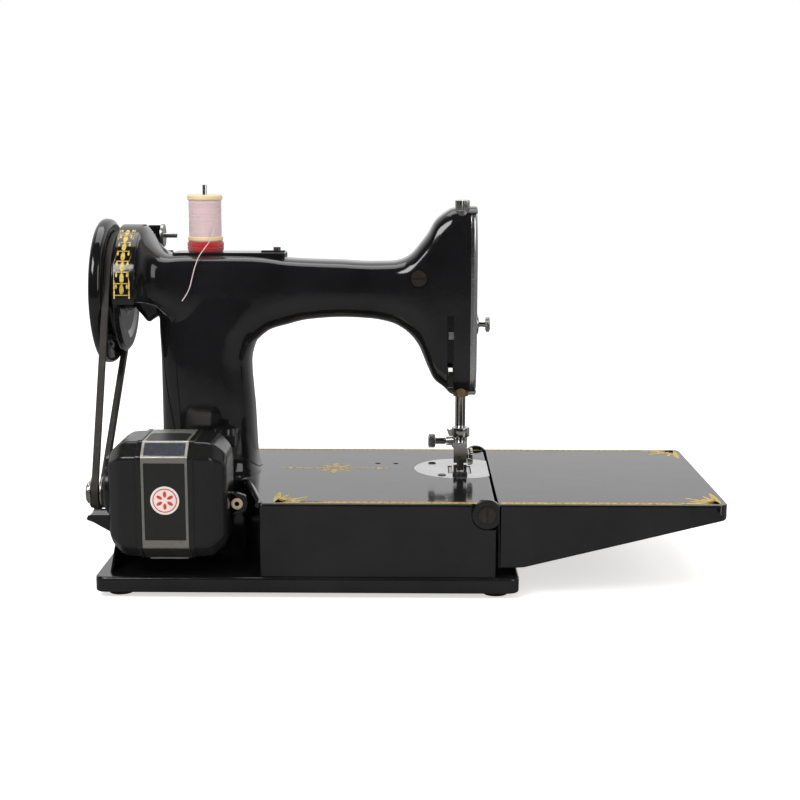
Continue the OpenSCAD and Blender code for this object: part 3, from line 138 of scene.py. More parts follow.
def enamel(name, base=(0.006, 0.006, 0.0065), rough=0.07, wear=0.5, dust=0.0):
    """Old gloss black enamel: faint orange peel, fine scratches, brown wear where edges turn."""
    m, nt, b = material(name)
    geometry = node(nt, "ShaderNodeNewGeometry")
    edge = ramp(nt, geometry.outputs["Pointiness"], [(0.53, 0.0), (0.60, 1.0)])
    chips = ramp(nt, noise(nt, 260.0, 5.0, 0.7), [(0.50, 0.0), (0.60, 1.0)])
    worn = node(nt, "ShaderNodeMath", operation="MULTIPLY")
    nt.links.new(edge, worn.inputs[0])
    nt.links.new(chips, worn.inputs[1])
    amount = node(nt, "ShaderNodeMath", operation="MULTIPLY")
    amount.inputs[1].default_value = wear
    nt.links.new(worn.outputs[0], amount.inputs[0])
    cloud = ramp(nt, noise(nt, 22.0, 4.0, 0.6), [(0.35, base), (0.75, tuple(c * 1.9 + 0.001 for c in base))])
    colour = mix(nt, amount.outputs[0], cloud, (0.10, 0.085, 0.065))
    if dust:
        up = node(nt, "ShaderNodeSeparateXYZ")
        nt.links.new(geometry.outputs["Normal"], up.inputs[0])
        flat = ramp(nt, up.outputs["Z"], [(0.6, 0.0), (0.95, 1.0)])
        specks = ramp(nt, noise(nt, 900.0, 3.0, 0.8), [(0.60, 0.0), (0.72, 1.0)])
        fall = node(nt, "ShaderNodeMath", operation="MULTIPLY")
        nt.links.new(flat, fall.inputs[0])
        nt.links.new(specks, fall.inputs[1])
        less = node(nt, "ShaderNodeMath", operation="MULTIPLY")
        less.inputs[1].default_value = dust
        nt.links.new(fall.outputs[0], less.inputs[0])
        colour = mix(nt, less.outputs[0], colour, (0.22, 0.18, 0.12))
    nt.links.new(colour, b.inputs["Base Color"])
    r = ramp(nt, noise(nt, 70.0, 6.0, 0.7), [(0.3, rough), (0.8, rough + 0.09)])
    nt.links.new(r, b.inputs["Roughness"])
    b.inputs["Specular IOR Level"].default_value = 0.5
    b.inputs["Coat Weight"].default_value = 0.35
    b.inputs["Coat Roughness"].default_value = 0.04
    bump(nt, b, noise(nt, 190.0, 2.0, 0.5), 0.10, 0.0004)
    bump(nt, b, noise(nt, 14.0, 2.0, 0.5), 0.16, 0.002)
    return m


def metal(name, base, rough, grain=(1, 1, 1), scale=900.0, strength=0.05, spots=0.25, dirt=(0.23, 0.18, 0.12)):
    """Plated or machined metal with fine tool grain, tarnish spots and a little grime."""
    m, nt, b = material(name)
    spot = ramp(nt, noise(nt, 160.0, 5.0, 0.7), [(0.56, 0.0), (0.74, spots)])
    tone = ramp(nt, noise(nt, 45.0, 3.0, 0.6), [(0.3, tuple(c * 0.9 for c in base)), (0.7, base)])
    nt.links.new(mix(nt, spot, tone, dirt), b.inputs["Base Color"])
    b.inputs["Metallic"].default_value = 1.0
    fine = noise(nt, scale, 3.0, 0.6, grain)
    nt.links.new(ramp(nt, fine, [(0.3, rough), (0.75, rough * 1.7 + 0.03)]), b.inputs["Roughness"])
    bump(nt, b, fine, strength, 0.0003)
    return m


def gold_leaf(name):
    m, nt, b = material(name)
    worn = ramp(nt, noise(nt, 520.0, 5.0, 0.75), [(0.36, (0.10, 0.075, 0.03)), (0.47, (0.62, 0.43, 0.09)),
                                                 (0.8, (0.83, 0.60, 0.14))])
    nt.links.new(worn, b.inputs["Base Color"])
    nt.links.new(ramp(nt, noise(nt, 300.0), [(0.3, 0.32), (0.7, 0.55)]), b.inputs["Roughness"])
    b.inputs["Metallic"].default_value = 0.25
    bump(nt, b, noise(nt, 700.0), 0.1, 0.0001)
    return m


def rubber(name, base, rough=0.75, fibre=0.4):
    m, nt, b = material(name)
    tone = ramp(nt, noise(nt, 120.0, 6.0, 0.75), [(0.3, tuple(c * 0.6 for c in base)), (0.55, base),
                                                 (0.8, tuple(c * 1.7 + 0.01 for c in base))])
    nt.links.new(tone, b.inputs["Base Color"])
    nt.links.new(ramp(nt, noise(nt, 60.0), [(0.3, rough - 0.15), (0.7, rough)]), b.inputs["Roughness"])
    bump(nt, b, noise(nt, 1100.0, 4.0, 0.8), fibre, 0.0005)
    return m


def fabric(name, base, scale, stretch=(1, 1, 1), depth=0.0006, sheen=0.6):
    m, nt, b = material(name)
    tone = ramp(nt, noise(nt, scale, 5.0, 0.8, stretch), [(0.3, tuple(c * 0.62 for c in base)), (0.6, base),
                                                         (0.85, tuple(min(1, c * 1.15 + 0.01) for c in base))])
    nt.links.new(tone, b.inputs["Base Color"])
    b.inputs["Roughness"].default_value = 0.9
    b.inputs["Sheen Weight"].default_value = sheen
    bump(nt, b, noise(nt, scale * 1.4, 6.0, 0.85, stretch), 0.7, depth)
    return m


def moulded(name, base, rough, speck=0.3):
    m, nt, b = material(name)
    tone = ramp(nt, noise(nt, 80.0, 5.0, 0.7), [(0.3, tuple(c * 0.86 for c in base)), (0.7, base)])
    nt.links.new(tone, b.inputs["Base Color"])
    nt.links.new(ramp(nt, noise(nt, 240.0, 4.0, 0.7), [(0.3, rough), (0.75, rough + 0.12)]), b.inputs["Roughness"])
    bump(nt, b, noise(nt, 600.0, 3.0, 0.6), speck * 0.3, 0.0003)
    return m


BLACK = enamel("black_enamel", wear=0.0)
ARM_BLACK = enamel("arm_enamel", wear=0.5)
BLACK_BED = enamel("bed_enamel", rough=0.08, wear=0.0, dust=0.12)
BLACK_MOTOR = moulded("motor_black", (0.012, 0.0115, 0.011), 0.13)
CRACKLE = enamel("bracket_enamel", rough=0.2, wear=0.0, dust=0.4)
CHROME = metal("chrome_plate", (0.74, 0.73, 0.71), 0.12, scale=300.0, strength=0.03, spots=0.18)
FACE = metal("face_chrome", (0.76, 0.76, 0.76), 0.16, grain=(1, 1, 12), scale=240.0, strength=0.05, spots=0.12)
STEEL = metal("machined_steel", (0.50, 0.49, 0.47), 0.24, scale=700.0, strength=0.1, spots=0.35)
DARK_STEEL = metal("browned_steel", (0.14, 0.12, 0.105), 0.30, scale=600.0, strength=0.12, spots=0.5)
BRONZE = metal("sintered_bronze", (0.55, 0.40, 0.20), 0.32, scale=900.0, strength=0.15, spots=0.5)
SILVER = metal("band_silver", (0.62, 0.60, 0.55), 0.30, grain=(10, 1, 1), scale=200.0, strength=0.06, spots=0.3)
GOLD = gold_leaf("gold_transfer")
BELT = rubber("belt_rubber", (0.030, 0.026, 0.021), 0.62, 0.5)
FEET = rubber("foot_rubber", (0.03, 0.028, 0.026), 0.8, 0.3)
RED_FELT = fabric("red_felt", (0.56, 0.008, 0.012), 700.0)
GREY_FELT = fabric("oil_felt", (0.22, 0.19, 0.14), 500.0)
THREAD = fabric("pink_thread", (0.90, 0.70, 0.70), 1500.0, (1, 1, 9), 0.0002, 0.3)
CREAM = moulded("spool_cream", (0.90, 0.70, 0.42), 0.42)
PANEL = moulded("band_panel", (0.016, 0.0155, 0.0145), 0.30)
# Lighter, bluish copy of the band panel: a painted reflection of the overhead light on the up-facing chamfer.
REFLECTION_PANEL = moulded("band_panel_painted_reflection", (0.045, 0.05, 0.06), 0.22)
EMBLEM = moulded("emblem_white", (0.78, 0.75, 0.68), 0.35)
EMBLEM_RED = moulded("emblem_red", (0.72, 0.03, 0.02), 0.38)
INSULATOR = moulded("insulator", (0.72, 0.56, 0.36), 0.5)


# ---------------------------------------------------------------- outlines
def fillet(points, radius, closed=True, seg=5):
    """Rounds the corners of a 2-D line; radius is one number or one for each corner."""
    n = len(points)
    radii = radius if hasattr(radius, "__len__") else [radius] * n
    out = []
    for i, p in enumerate(points):
        r = radii[i]
        if r <= 0 or (not closed and i in (0, n - 1)):
            out.append(tuple(p))
            continue
        a, b, c = (np.array(q, float) for q in (points[i - 1], p, points[(i + 1) % n]))
        u, v = a - b, c - b
        lu, lv = np.linalg.norm(u), np.linalg.norm(v)
        u, v = u / lu, v / lv
        half = math.acos(max(-1, min(1, float(u @ v)))) / 2
        d = min(r / max(math.tan(half), 1e-6), lu * 0.48, lv * 0.48)
        p0, p1 = b + u * d, b + v * d
        for k in range(seg + 1):
            t = k / seg
            out.append(tuple((1 - t) ** 2 * p0 + 2 * t * (1 - t) * b + t * t * p1))
    return out


def inset(points, d):
    """Moves a counter-clockwise outline inward by d."""
    p = np.array(points, float)
    e = np.roll(p, -1, 0) - p
    e /= np.linalg.norm(e, axis=1)[:, None]
    nrm = np.stack([-e[:, 1], e[:, 0]], 1)
    before = np.roll(nrm, 1, 0)
    s = nrm + before
    s /= np.maximum(1 + (nrm * before).sum(1), 0.3)[:, None]
    return p + s * d


def circle2(c, r, n=48, start=0.0):
    return [(c[0] + r * math.cos(2 * math.pi * i / n + start), c[1] + r * math.sin(2 * math.pi * i / n + start))
            for i in range(n)]


PLANES = {"XY": lambda u, v, w: (u, v, w), "YZ": lambda u, v, w: (w, u, v), "XZ": lambda u, v, w: (u, -w, v)}


# ---------------------------------------------------------------- meshes
def even(ob):
    """Keeps flat faces flat beside rounded edges."""
    w = ob.modifiers.new("even", "WEIGHTED_NORMAL")
    w.keep_sharp = True
    w.weight = 100


def mesh(name, verts, faces, mat, body, angle=35.0, replace=(), slot=None):
    me = bpy.data.meshes.new(name)
    me.from_pydata([tuple(float(c) * MM for c in v) for v in verts], [], faces)
    bm = bmesh.new()
    bm.from_mesh(me)
    bmesh.ops.remove_doubles(bm, verts=bm.verts, dist=1e-7)
    bmesh.ops.recalc_face_normals(bm, faces=bm.faces)
    bm.to_mesh(me)
    bm.free()
    me.shade_smooth()
    me.set_sharp_from_angle(angle=math.radians(angle))
    ob = bpy.data.objects.new(name, me)
    SCENE.collection.objects.link(ob)
    me.materials.append(mat)
    if body:
        even(ob)
        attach(ob, body)
        if replace:
            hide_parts(*replace)
    return ob


def rings_to_faces(m, n, closed_rings=True, loop=False):
    faces = []
    for j in range(m if loop else m - 1):
        k = (j + 1) % m
        for i in range(n if closed_rings else n - 1):
            i2 = (i + 1) % n
            faces.append((j * n + i, j * n + i2, k * n + i2, k * n + i))
    return faces


def loft(name, rings, mat, body, loop=False, **kw):
    n, m = len(rings[0]), len(rings)
    faces = rings_to_faces(m, n, loop=loop)
    if not loop:
        faces += [tuple(range(n)), tuple((m - 1) * n + i for i in range(n))]
    return mesh(name, [p for r in rings for p in r], faces, mat, body, **kw)


def lathe(name, profile, centre, axis, mat, body, seg=96, **kw):
    """profile is (along, radius); its ends lie on the axis or it closes on itself."""
    verts, ids = [], []
    for a, r in profile:
        if r < 1e-6:
            ids.append([len(verts)])
            verts.append((a, 0, 0))
        else:
            ids.append(list(range(len(verts), len(verts) + seg)))
            verts += [(a, r * math.cos(2 * math.pi * k / seg), r * math.sin(2 * math.pi * k / seg))
                      for k in range(seg)]
    closed = len(ids[0]) > 1 and len(ids[-1]) > 1
    faces = []
    for j in range(len(ids) if closed else len(ids) - 1):
        A, B = ids[j], ids[(j + 1) % len(ids)]
        for k in range(seg):
            k2 = (k + 1) % seg
            quad = [A[k % len(A)], A[k2 % len(A)], B[k2 % len(B)], B[k % len(B)]]
            quad = list(dict.fromkeys(quad))
            if len(quad) > 2:
                faces.append(tuple(quad))
    turn = {"X": lambda v: (v[0], v[1], v[2]), "Y": lambda v: (v[1], v[0], v[2]), "Z": lambda v: (v[1], v[2], v[0])}[axis]
    verts = [tuple(np.array(turn(v)) + np.array(centre)) for v in verts]
    return mesh(name, verts, faces, mat, body, **kw)


def prism(name, outline, w0, w1, mat, body, plane="XY", edge=(0.8, 0.8), seg=3, **kw):
    """Outline extruded from w0 to w1, with its far and near edges rounded. edge is (at w0, at w1)."""
    place = PLANES[plane]
    rings = []
    for side, w, r in ((0, w0, edge[0]), (1, w1, edge[1])):
        sign = 1 if side == 0 else -1
        steps = range(seg + 1) if r > 0 else [seg]
        steps = list(steps) if side == 0 else list(reversed(list(steps)))
        for k in steps:
            t = math.pi / 2 * k / seg if r > 0 else math.pi / 2
            ring = inset(outline, r * (1 - math.sin(t)))
            rings.append([place(u, v, w + sign * r * (1 - math.cos(t)) if side == 0 else w - r * (1 - math.cos(t)))
                          for u, v in ring])
    return loft(name, rings, mat, body, **kw)


def finalise(ob):
    """Applies the modifiers of a mesh object."""
    bpy.context.view_layer.update()
    ev = ob.evaluated_get(bpy.context.evaluated_depsgraph_get())
    me = bpy.data.meshes.new_from_object(ev)
    old = ob.data
    ob.modifiers.clear()
    ob.data = me
    bpy.data.meshes.remove(old)
    return ob


def cut(ob, *cutters, angle=35.0):
    for c in cutters:
        m = ob.modifiers.new("cut", "BOOLEAN")
        m.operation = "DIFFERENCE"
        m.solver = "MANIFOLD"
        m.object = c
    finalise(ob)
    for c in cutters:
        bpy.data.objects.remove(c, do_unlink=True)
    bm = bmesh.new()
    bm.from_mesh(ob.data)
    bmesh.ops.dissolve_degenerate(bm, dist=4e-6, edges=bm.edges[:])
    bmesh.ops.dissolve_limit(bm, angle_limit=math.radians(0.15), verts=bm.verts[:], edges=bm.edges[:])
    bm.to_mesh(ob.data)
    bm.free()
    ob.data.shade_smooth()
    ob.data.set_sharp_from_angle(angle=math.radians(angle))
    even(ob)
    return ob


def tool_box(a, b):
    v = [(x, y, z) for x in (a[0], b[0]) for y in (a[1], b[1]) for z in (a[2], b[2])]
    f = [(0, 1, 3, 2), (4, 6, 7, 5), (0, 4, 5, 1), (2, 3, 7, 6), (0, 2, 6, 4), (1, 5, 7, 3)]
    return mesh("tool", v, f, BLACK, None)


def tool_rod(axis, a0, a1, centre, r, seg=64):
    return lathe("tool", [(a0, 0), (a0, r), (a1, r), (a1, 0)], centre, axis, BLACK, None, seg=seg)


def soften(names, mat, width=0.35, seg=2, angle=32.0):
    """Finishes carried-over CAD nodes: material, merged corners and rounded edges."""
    for name in names:
        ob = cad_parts[name]
        ob.data.materials.clear()
        ob.data.materials.append(mat)
        weld = ob.modifiers.new("weld", "WELD")
        weld.merge_threshold = 2e-6
        if width:
            b = ob.modifiers.new("round", "BEVEL")
            b.width = width * MM
            b.segments = seg
            b.limit_method = "ANGLE"
            b.angle_limit = math.radians(angle)
            b.use_clamp_overlap = True
            b.miter_outer = "MITER_ARC"


def spline(xs, ys, at):
    """Monotone cubic through the points."""
    xs, ys = np.array(xs, float), np.array(ys, float)
    h, d = np.diff(xs), np.diff(ys) / np.diff(xs)
    m = np.zeros(len(xs))
    for i in range(1, len(xs) - 1):
        if d[i - 1] * d[i] > 0:
            w1, w2 = 2 * h[i] + h[i - 1], h[i] + 2 * h[i - 1]
            m[i] = (w1 + w2) / (w1 / d[i - 1] + w2 / d[i])
    m[0], m[-1] = d[0], d[-1]
    out = []
    for x in at:
        i = int(min(max(np.searchsorted(xs, x) - 1, 0), len(xs) - 2))
        t = (x - xs[i]) / h[i]
        out.append((2 * t**3 - 3 * t**2 + 1) * ys[i] + (t**3 - 2 * t**2 + t) * h[i] * m[i]
                   + (-2 * t**3 + 3 * t**2) * ys[i + 1] + (t**3 - t**2) * h[i] * m[i + 1])
    return np.array(out)


def bulge(t, p):
    return math.copysign(abs(t) ** (2 / p), t)


# ---------------------------------------------------------------- arm, pillar and hood
ARM = [  # x, underside, waist, top, half depth, power above, power below
    (-112, 172.5, 178, 221, 43.2, 2.05, 7), (-109, 172.2, 179, 218.8, 39, 2.2, 6),
    (-105.5, 170.5, 180, 211.8, 33, 2.6, 5), (-101, 167.5, 181, 205.8, 28.5, 3.2, 4),
    (-94, 160.5, 181, 201.8, 26, 3.8, 4), (-84, 153.3, 178, 202.3, 24.5, 4, 4),
    (-60, 149.3, 176, 202.3, 23.5, 4, 4), (-40, 145.3, 174, 202, 23, 4, 4),
    (-34, 149.8, 176, 201.5, 22.7, 4, 4), (-29, 153.3, 177, 201, 22.5, 4, 4),
    (-18, 156.5, 178, 199.5, 22, 3.8, 3.8), (-5, 159.7, 179, 198.8, 21.5, 3.6, 3.6),
    (18, 161.3, 179.7, 198.1, 21.5, 3.5, 3.5), (35, 160.6, 179, 197.3, 21.5, 3.5, 3.5),
    (50, 157.8, 177.5, 197.5, 21.5, 3.5, 3.5), (57, 154.3, 176.5, 199, 22, 3.6, 3.6),
    (63, 149.3, 176, 202.8, 22.5, 3.7, 3.7), (68, 142.3, 175, 208.8, 23, 3.8, 3.8),
    (73, 130.3, 173, 215.3, 23.5, 4, 4), (78, 120.3, 172, 224, 23.5, 4.3, 4.3),
    (84, 115.8, 172, 229, 23.5, 4.6, 4.6), (90, 110.5, 171.7, 232.2, 23.5, 4.8, 4.8),
    (103, 110.5, 171.7, 233, 23.5, 4.8, 4.8)]
PILLAR = [  # z, left, right, half depth
    (55.5, -107.5, -34.5, 35.5), (58.5, -106, -36, 34), (60.5, -104, -37.6, 31.4), (64, -102.8, -38.8, 29.6),
    (70.5, -101.8, -39.5, 28.2), (98.5, -101, -40.7, 28), (130.5, -101, -42.8, 27),
    (145.5, -101.5, -39, 26), (156.5, -102, -29, 25), (170.5, -102, -19, 24)]


def arm_ring(s, n=112):
    x, zb, zc, zt, hd, pt, pb = s
    out = []
    for i in range(n):
        a = 2 * math.pi * i / n
        up = math.sin(a) >= 0
        p = pt if up else pb
        out.append((x, ARM_Y + hd * bulge(math.cos(a), p), zc + (zt - zc if up else zc - zb) * bulge(math.sin(a), p)))
    return out


def pillar_ring(s, n=96, p=3.0):
    z, left, right, hd = s
    return [((left + right) / 2 + (right - left) / 2 * bulge(math.cos(2 * math.pi * i / n), p),
             ARM_Y + hd * bulge(math.sin(2 * math.pi * i / n), p), z) for i in range(n)]


def dense(table, at):
    cols = [spline([s[0] for s in table], [s[k] for s in table], at) for k in range(1, len(table[0]))]
    return [(x, *[float(c[i]) for c in cols]) for i, x in enumerate(at)]


def build_arm():
    a = loft("arm", [arm_ring(s) for s in dense(ARM, np.linspace(-112, 103, 150))], ARM_BLACK, None)
    b = loft("pillar_part", [pillar_ring(s) for s in dense(PILLAR, np.linspace(55.5, 170.5, 80))], BLACK, None)
    rib = prism("rib", [(-119, 176), (-119, 167.5), (-110, 156.5), (-99, 165.5), (-99, 176)][::-1], -ARM_Y - 3.4,
                -ARM_Y + 3.4, BLACK, None, plane="XZ", edge=(1, 1))
    for o in (b, rib):
        bpy.context.view_layer.update()
    bm = bmesh.new()
    for o in (a, b, rib):
        bm.from_mesh(o.data)
    bm.to_mesh(a.data)
    bm.free()
    for o in (b, rib):
        bpy.data.objects.remove(o, do_unlink=True)
    m = a.modifiers.new("skin", "REMESH")
    m.mode = "VOXEL"
    m.voxel_size = 1.15 * MM
    m.use_smooth_shade = True
    s = a.modifiers.new("smooth", "SMOOTH")
    s.iterations = 14
    s.factor = 0.5
    finalise(a)
    # crisp seats: face plate end and foot of the pillar
    lifter = tool_box((85.9, -20, 120), (90.1, 0.5, 164))
    take = tool_box((90.3, 30, 158), (94.7, 50, 214))
    cut(a, tool_box((HEAD_END, -30, 90), (120, 60, 250)), tool_box((-130, -60, 40), (-20, 90, BED_H)), lifter, take,
        tool_rod("Y", -30, ARM_Y - 21.5 + 1.4, (67.6, 0, 187.8), 5.4), tool_rod("Y", -30, -7, (-44.6, 0, 147), 2.7),
        tool_rod("Y", 42.4, 60, (-71, 0, 112), 15.1),
        *[tool_rod("Z", 100, 126, (NEEDLE[0], y, 0), 5.12) for y in (14.0, 1.0)],
        tool_rod("Z", 224, 240, (NEEDLE[0], 1.0, 0), 4.78), angle=40.0)
    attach(a, "machine")
    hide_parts("arm_casting")
    return a


def hood_outline(r, cut_z, n=64):
    half = math.acos((cut_z - SHAFT_Z) / r)
    return [(ARM_Y + r * math.sin(half - 2 * half * k / n), SHAFT_Z + r * math.cos(half - 2 * half * k / n))
            for k in range(n + 1)]


build_arm()
lips = loft("head_lips", [arm_ring((x, HEAD_BOTTOM + d, 171.7, HEAD_TOP - d, 23.5 - d, 4.8, 4.8), 128)
                          for x, d in ((97, 0), (104.2, 0), (104.8, 0.25), (105, 0.8))], BLACK, None, angle=40)
cut(lips, tool_box((90, -40, HEAD_BOTTOM + 4), (120, 70, HEAD_TOP - 4)), angle=40)
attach(lips, "machine")
hood = prism("hood", fillet(hood_outline(43.5, 172.5)[::1], [0.5] + [0] * 63 + [0.5], seg=3), -125, -111, BLACK, None,
             plane="YZ", edge=(1.2, 0.4))
inner = prism("hood_hollow", hood_outline(41.0, 150.0), -127, -120.5, BLACK, None, plane="YZ", edge=(0, 0))
cut(hood, inner)
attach(hood, "machine")
pad = prism("arm_top_pad", fillet([(-92, 3), (-19, 3), (-19, 27), (-92, 27)], 3.5), 196.5, ARM_TOP, BLACK, "machine",
            edge=(0, 0.7))

# ---------------------------------------------------------------- bed
FLANGE = fillet([(-129, -85), (129, -85), (129, 85), (-129, 85)], 8, seg=8)
BED = [(-121, -20), (-43, -20), (-29.5, -73), (-28.3, -82.5), (114.5, -82.5), (114.5, 82.5), (-115, 82.5), (-121, 76.5)]
bed = prism("bed_box", fillet(BED, [3, 5, 12, 2, 1, 1, 5, 5], seg=6), 8, BED_H, BLACK_BED, None, edge=(0, 1.7), seg=5)
tools = [lathe("tool", [(56.9, 0), (56.9, 30.45), (70, 30.45), (70, 0)], (95.2, PLATE_Y, 0), "Z", BLACK, None, seg=128),
         tool_rod("Z", 20, 60, (93.2, 17, 0), 17.2), tool_box((60, -10, 16), (120, 46, 52.5)),
         tool_box((-100, -10, 4), (96, 70, 16))]
for x in (40.3, 52.6):
    tools.append(tool_rod("Z", 54, 60, (x, 32, 0), 1.8, 24))
for s in (-1, 1):
    y0, y1 = sorted((s * 78.2, s * 84))
    tools.append(tool_rod("Y", y0, y1, (HINGE[0], 0, HINGE[1]), 9.5, 72))
    tools.append(tool_box((HINGE[0], y0, HINGE[1] - 9.5), (120, y1, 60)))
    tools.append(tool_box((HINGE[0] - 9.5, y0, HINGE[1]), (120, y1, 60)))
cut(bed, *tools, angle=32.0)
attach(bed, "machine")
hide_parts("bed_casting")
flange = prism("bed_flange", FLANGE, FOOT_H, FLANGE_TOP, BLACK_BED, None, edge=(0.8, 1.6), seg=4)
cut(flange, tool_box((-123.7, -79.7, 2), (123.7, 79.7, 8)), angle=32.0)
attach(flange, "machine")
cheek = prism("bed_cheek", fillet([(-20, 12), (-20, 54.5), (-36, 46.5), (-77, 12)], [0, 1, 3, 1]), -121, -119.4,
              BLACK_BED, "machine", plane="YZ", edge=(0.5, 0.5))
lip = loft("notch_lip", [[(x + 2.1 * c, y + 0.6 * c, z + 1.6 * s) for c, s in circle2((0, 0), 1, 12)]
                         for x, y, z in [(-28.9, -80.6, 57.1), (-29.4, -73, 57.6), (-32.3, -62, 58.2), (-36.4, -45, 58.4),
                                         (-41.5, -26, 58.3), (-44, -21, 58)]], BLACK_BED, "machine")

# ---------------------------------------------------------------- extension table
SIDE = fillet([(TABLE_X0, 18.4), (131.5, 19.2), (TABLE_X1, 49.5), (TABLE_X1, BED_H), (TABLE_X0, BED_H)],
              [1, 6, 2.5, 1.5, 0.6], seg=5)
table = prism("table_shell", SIDE, -BED_Y, BED_Y, BLACK_BED, None, plane="XZ", edge=(1.6, 1.6), seg=4)
plan = prism("plan", fillet([(100, -BED_Y - 5), (TABLE_X1 + 9, -BED_Y - 5), (TABLE_X1 + 9, BED_Y + 5), (100, BED_Y + 5)], 0.01,
                            seg=1), 0, 80, BLACK, None, edge=(0, 0))
corner = loft("corner", [[(x, y, z) for x, y in fillet([(90, -BED_Y), (TABLE_X1, -BED_Y), (TABLE_X1, BED_Y), (90, BED_Y)],
                                                       [0, 9, 9, 0], seg=10)] for z in (0.0, 80.0)], BLACK, None)
cut(plan, corner)
HOLLOW = [(TABLE_X0 - 12, 10), (129, 10), (TABLE_X1 - 3.5, 50.8), (TABLE_X1 - 3.5, 55), (TABLE_X0 - 12, 55)]
ears = []
for s in (-1, 1):
    y0, y1 = sorted((-s * 82.5, -s * 78.5))
    ear = circle2(HINGE, 9.2, 72)
    ears.append(prism("ear", ear, y0, y1, BLACK_BED, None, plane="XZ", edge=(0.7, 0.7), seg=3))
cut(table, plan, prism("hollow", HOLLOW, -79, 79, BLACK, None, plane="XZ", edge=(0, 0)),
    tool_rod("Y", -78.5, 78.5, (HINGE[0], 0, HINGE[1]), 9.0, 96), angle=32.0)
for k, e in enumerate(ears):
    cut(e, tool_rod("Y", -90, 90, (HINGE[0], 0, HINGE[1]), 2.55, 40), angle=32.0)
    e.name = "table_ear_" + "ab"[k]
    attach(e, "table")
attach(table, "table")
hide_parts("extension_table")

# ---------------------------------------------------------------- hand wheel, belt and knob
WHEEL = fillet([(-136.6, 5), (-136.6, 13.4), (-134.2, 14.6), (-134.2, 27.5), (-136.6, 31.5), (-137.3, 38),
                (-139.2, 41.2), (-139.4, 45.4), (-136.6, 47.3), (-132.4, 46.6), (-130.7, 43.6), (-131.0, 39.9),
                (-131.6, 38.6), (-131.6, 34.2), (-126.4, 34.2), (-126.4, 39.2), (-124.6, 39.5), (-122.6, 37.2),
                (-122.4, 31), (-123.6, 26), (-123.6, 16), (-122.4, 13), (-118.9, 12.4), (-118.9, 5)],
               [0, 1, 1, 2, 2, 3, 3, 3, 4, 4, 2, 1, .4, .4, .4, .7, 1, 2, 2, 2, 2, 1, 1, 0], seg=4)
wheel = lathe("wheel", WHEEL, (0, ARM_Y, SHAFT_Z), "X", BLACK, "main_shaft", seg=160, angle=40, replace=["hand_wheel"],
              slot="enamel")


def knurled_knob(name, x0, x1, yz, r, body, node_name=None, mat=CHROME, ridges=36, axis="X", dish=0.6, depth=0.45):
    """Round head with knurled rim and softly domed ends along an axis."""
    n = ridges * 6
    prof = [(x0, r * 0.25), (x0 + 0.05, r - dish - 0.6), (x0 + dish, r), (x1 - dish, r), (x1 - 0.05, r - dish - 0.6),
            (x1, r * 0.25)]
    rings = []
    for a, rr in prof:
        ring = []
        for k in range(n):
            t = 2 * math.pi * k / n
            q = rr - (depth * (0.5 + 0.5 * math.cos(ridges * t)) if rr > r * 0.9 else 0)
            p = (a, yz[0] + q * math.cos(t), yz[1] + q * math.sin(t))
            if axis == "Z":
                p = (yz[0] + q * math.cos(t), yz[1] + q * math.sin(t), a)
            if axis == "Y":
                p = (yz[0] + q * math.cos(t), a, yz[1] + q * math.sin(t))
            ring.append(p)
        rings.append(ring)
    return loft(name, rings, mat, body, angle=60, replace=[node_name] if node_name else (), slot="nickel")


def rod(name, axis, a0, a1, centre, r, mat, body, slot="nickel", chamfer=0.3, seg=48, bore=0.0, replace=()):
    prof = [(a0, bore), (a0, r - chamfer), (a0 + chamfer, r), (a1 - chamfer, r), (a1, r - chamfer), (a1, bore)]
    return lathe(name, prof, centre, axis, mat, body, seg=seg, slot=slot, replace=replace)


knurled_knob("stop_knob", -142.1, -136.9, (ARM_Y, SHAFT_Z), 15, "stop_motion", "stop_motion_knob", ridges=48)
lathe("stop_knob_cap", fillet([(-144.6, 0), (-144.6, 9.5), (-142.0, 11), (-142.0, 0)], [0, 1.6, 0.3, 0], closed=False),
      (0, ARM_Y, SHAFT_Z), "X", CHROME, "stop_motion", slot="nickel")


def belt_path(n_big=72, n_small=40):
    """Middle line of the belt round wheel and motor pulley, in the YZ plane, with its outward normals."""
    c0, c1 = np.array([ARM_Y, SHAFT_Z]), np.array([MOTOR[1], MOTOR[2]])
    r0, r1 = 36.5, 8.5
    d = c1 - c0
    base = math.atan2(d[1], d[0])
    beta = math.acos((r0 - r1) / np.linalg.norm(d))
    out = []
    for c, r, a0, a1, n in ((c0, r0, base + beta, base + 2 * math.pi - beta, n_big),
                            (c1, r1, base - beta, base + beta, n_small)):
        for k in range(n + 1):
            a = a0 + (a1 - a0) * k / n
            nrm = np.array([math.cos(a), math.sin(a)])
            out.append((c + r * nrm, nrm))
    dense_out = []
    for k, (p, q) in enumerate(out):
        p2, q2 = out[(k + 1) % len(out)]
        steps = 24 if np.linalg.norm(p2 - p) > 20 else 1
        for s in range(steps):
            dense_out.append((p + (p2 - p) * s / steps, q + (q2 - q) * s / steps))
    return dense_out


SECTION = fillet([(-2.3, 2.0), (-1.75, -2.0), (1.75, -2.0), (2.3, 2.0)], [0.7, 0.5, 0.5, 0.7], seg=3)
loft("belt", [[(BELT_X + u, *(p + q * v)) for u, v in SECTION] for p, q in belt_path()], BELT, "machine", loop=True,
     replace=["drive_belt"], slot="rubber")

# ---------------------------------------------------------------- motor
MX, MY, MZ = MOTOR


def motor_section(d, c=8.5, r=3.0, seg=5):
    h, w = 36.0 - d, 27.0 - d
    c = max(c - d * 0.35, 4)
    pts = [(-w, -h + c), (-w + c, -h), (w - c, -h), (w, -h + c), (w, h - c), (w - c, h), (-w + c, h), (-w, h - c)]
    return [(MY + u, MZ + v) for u, v in fillet(pts, r, seg=seg)]


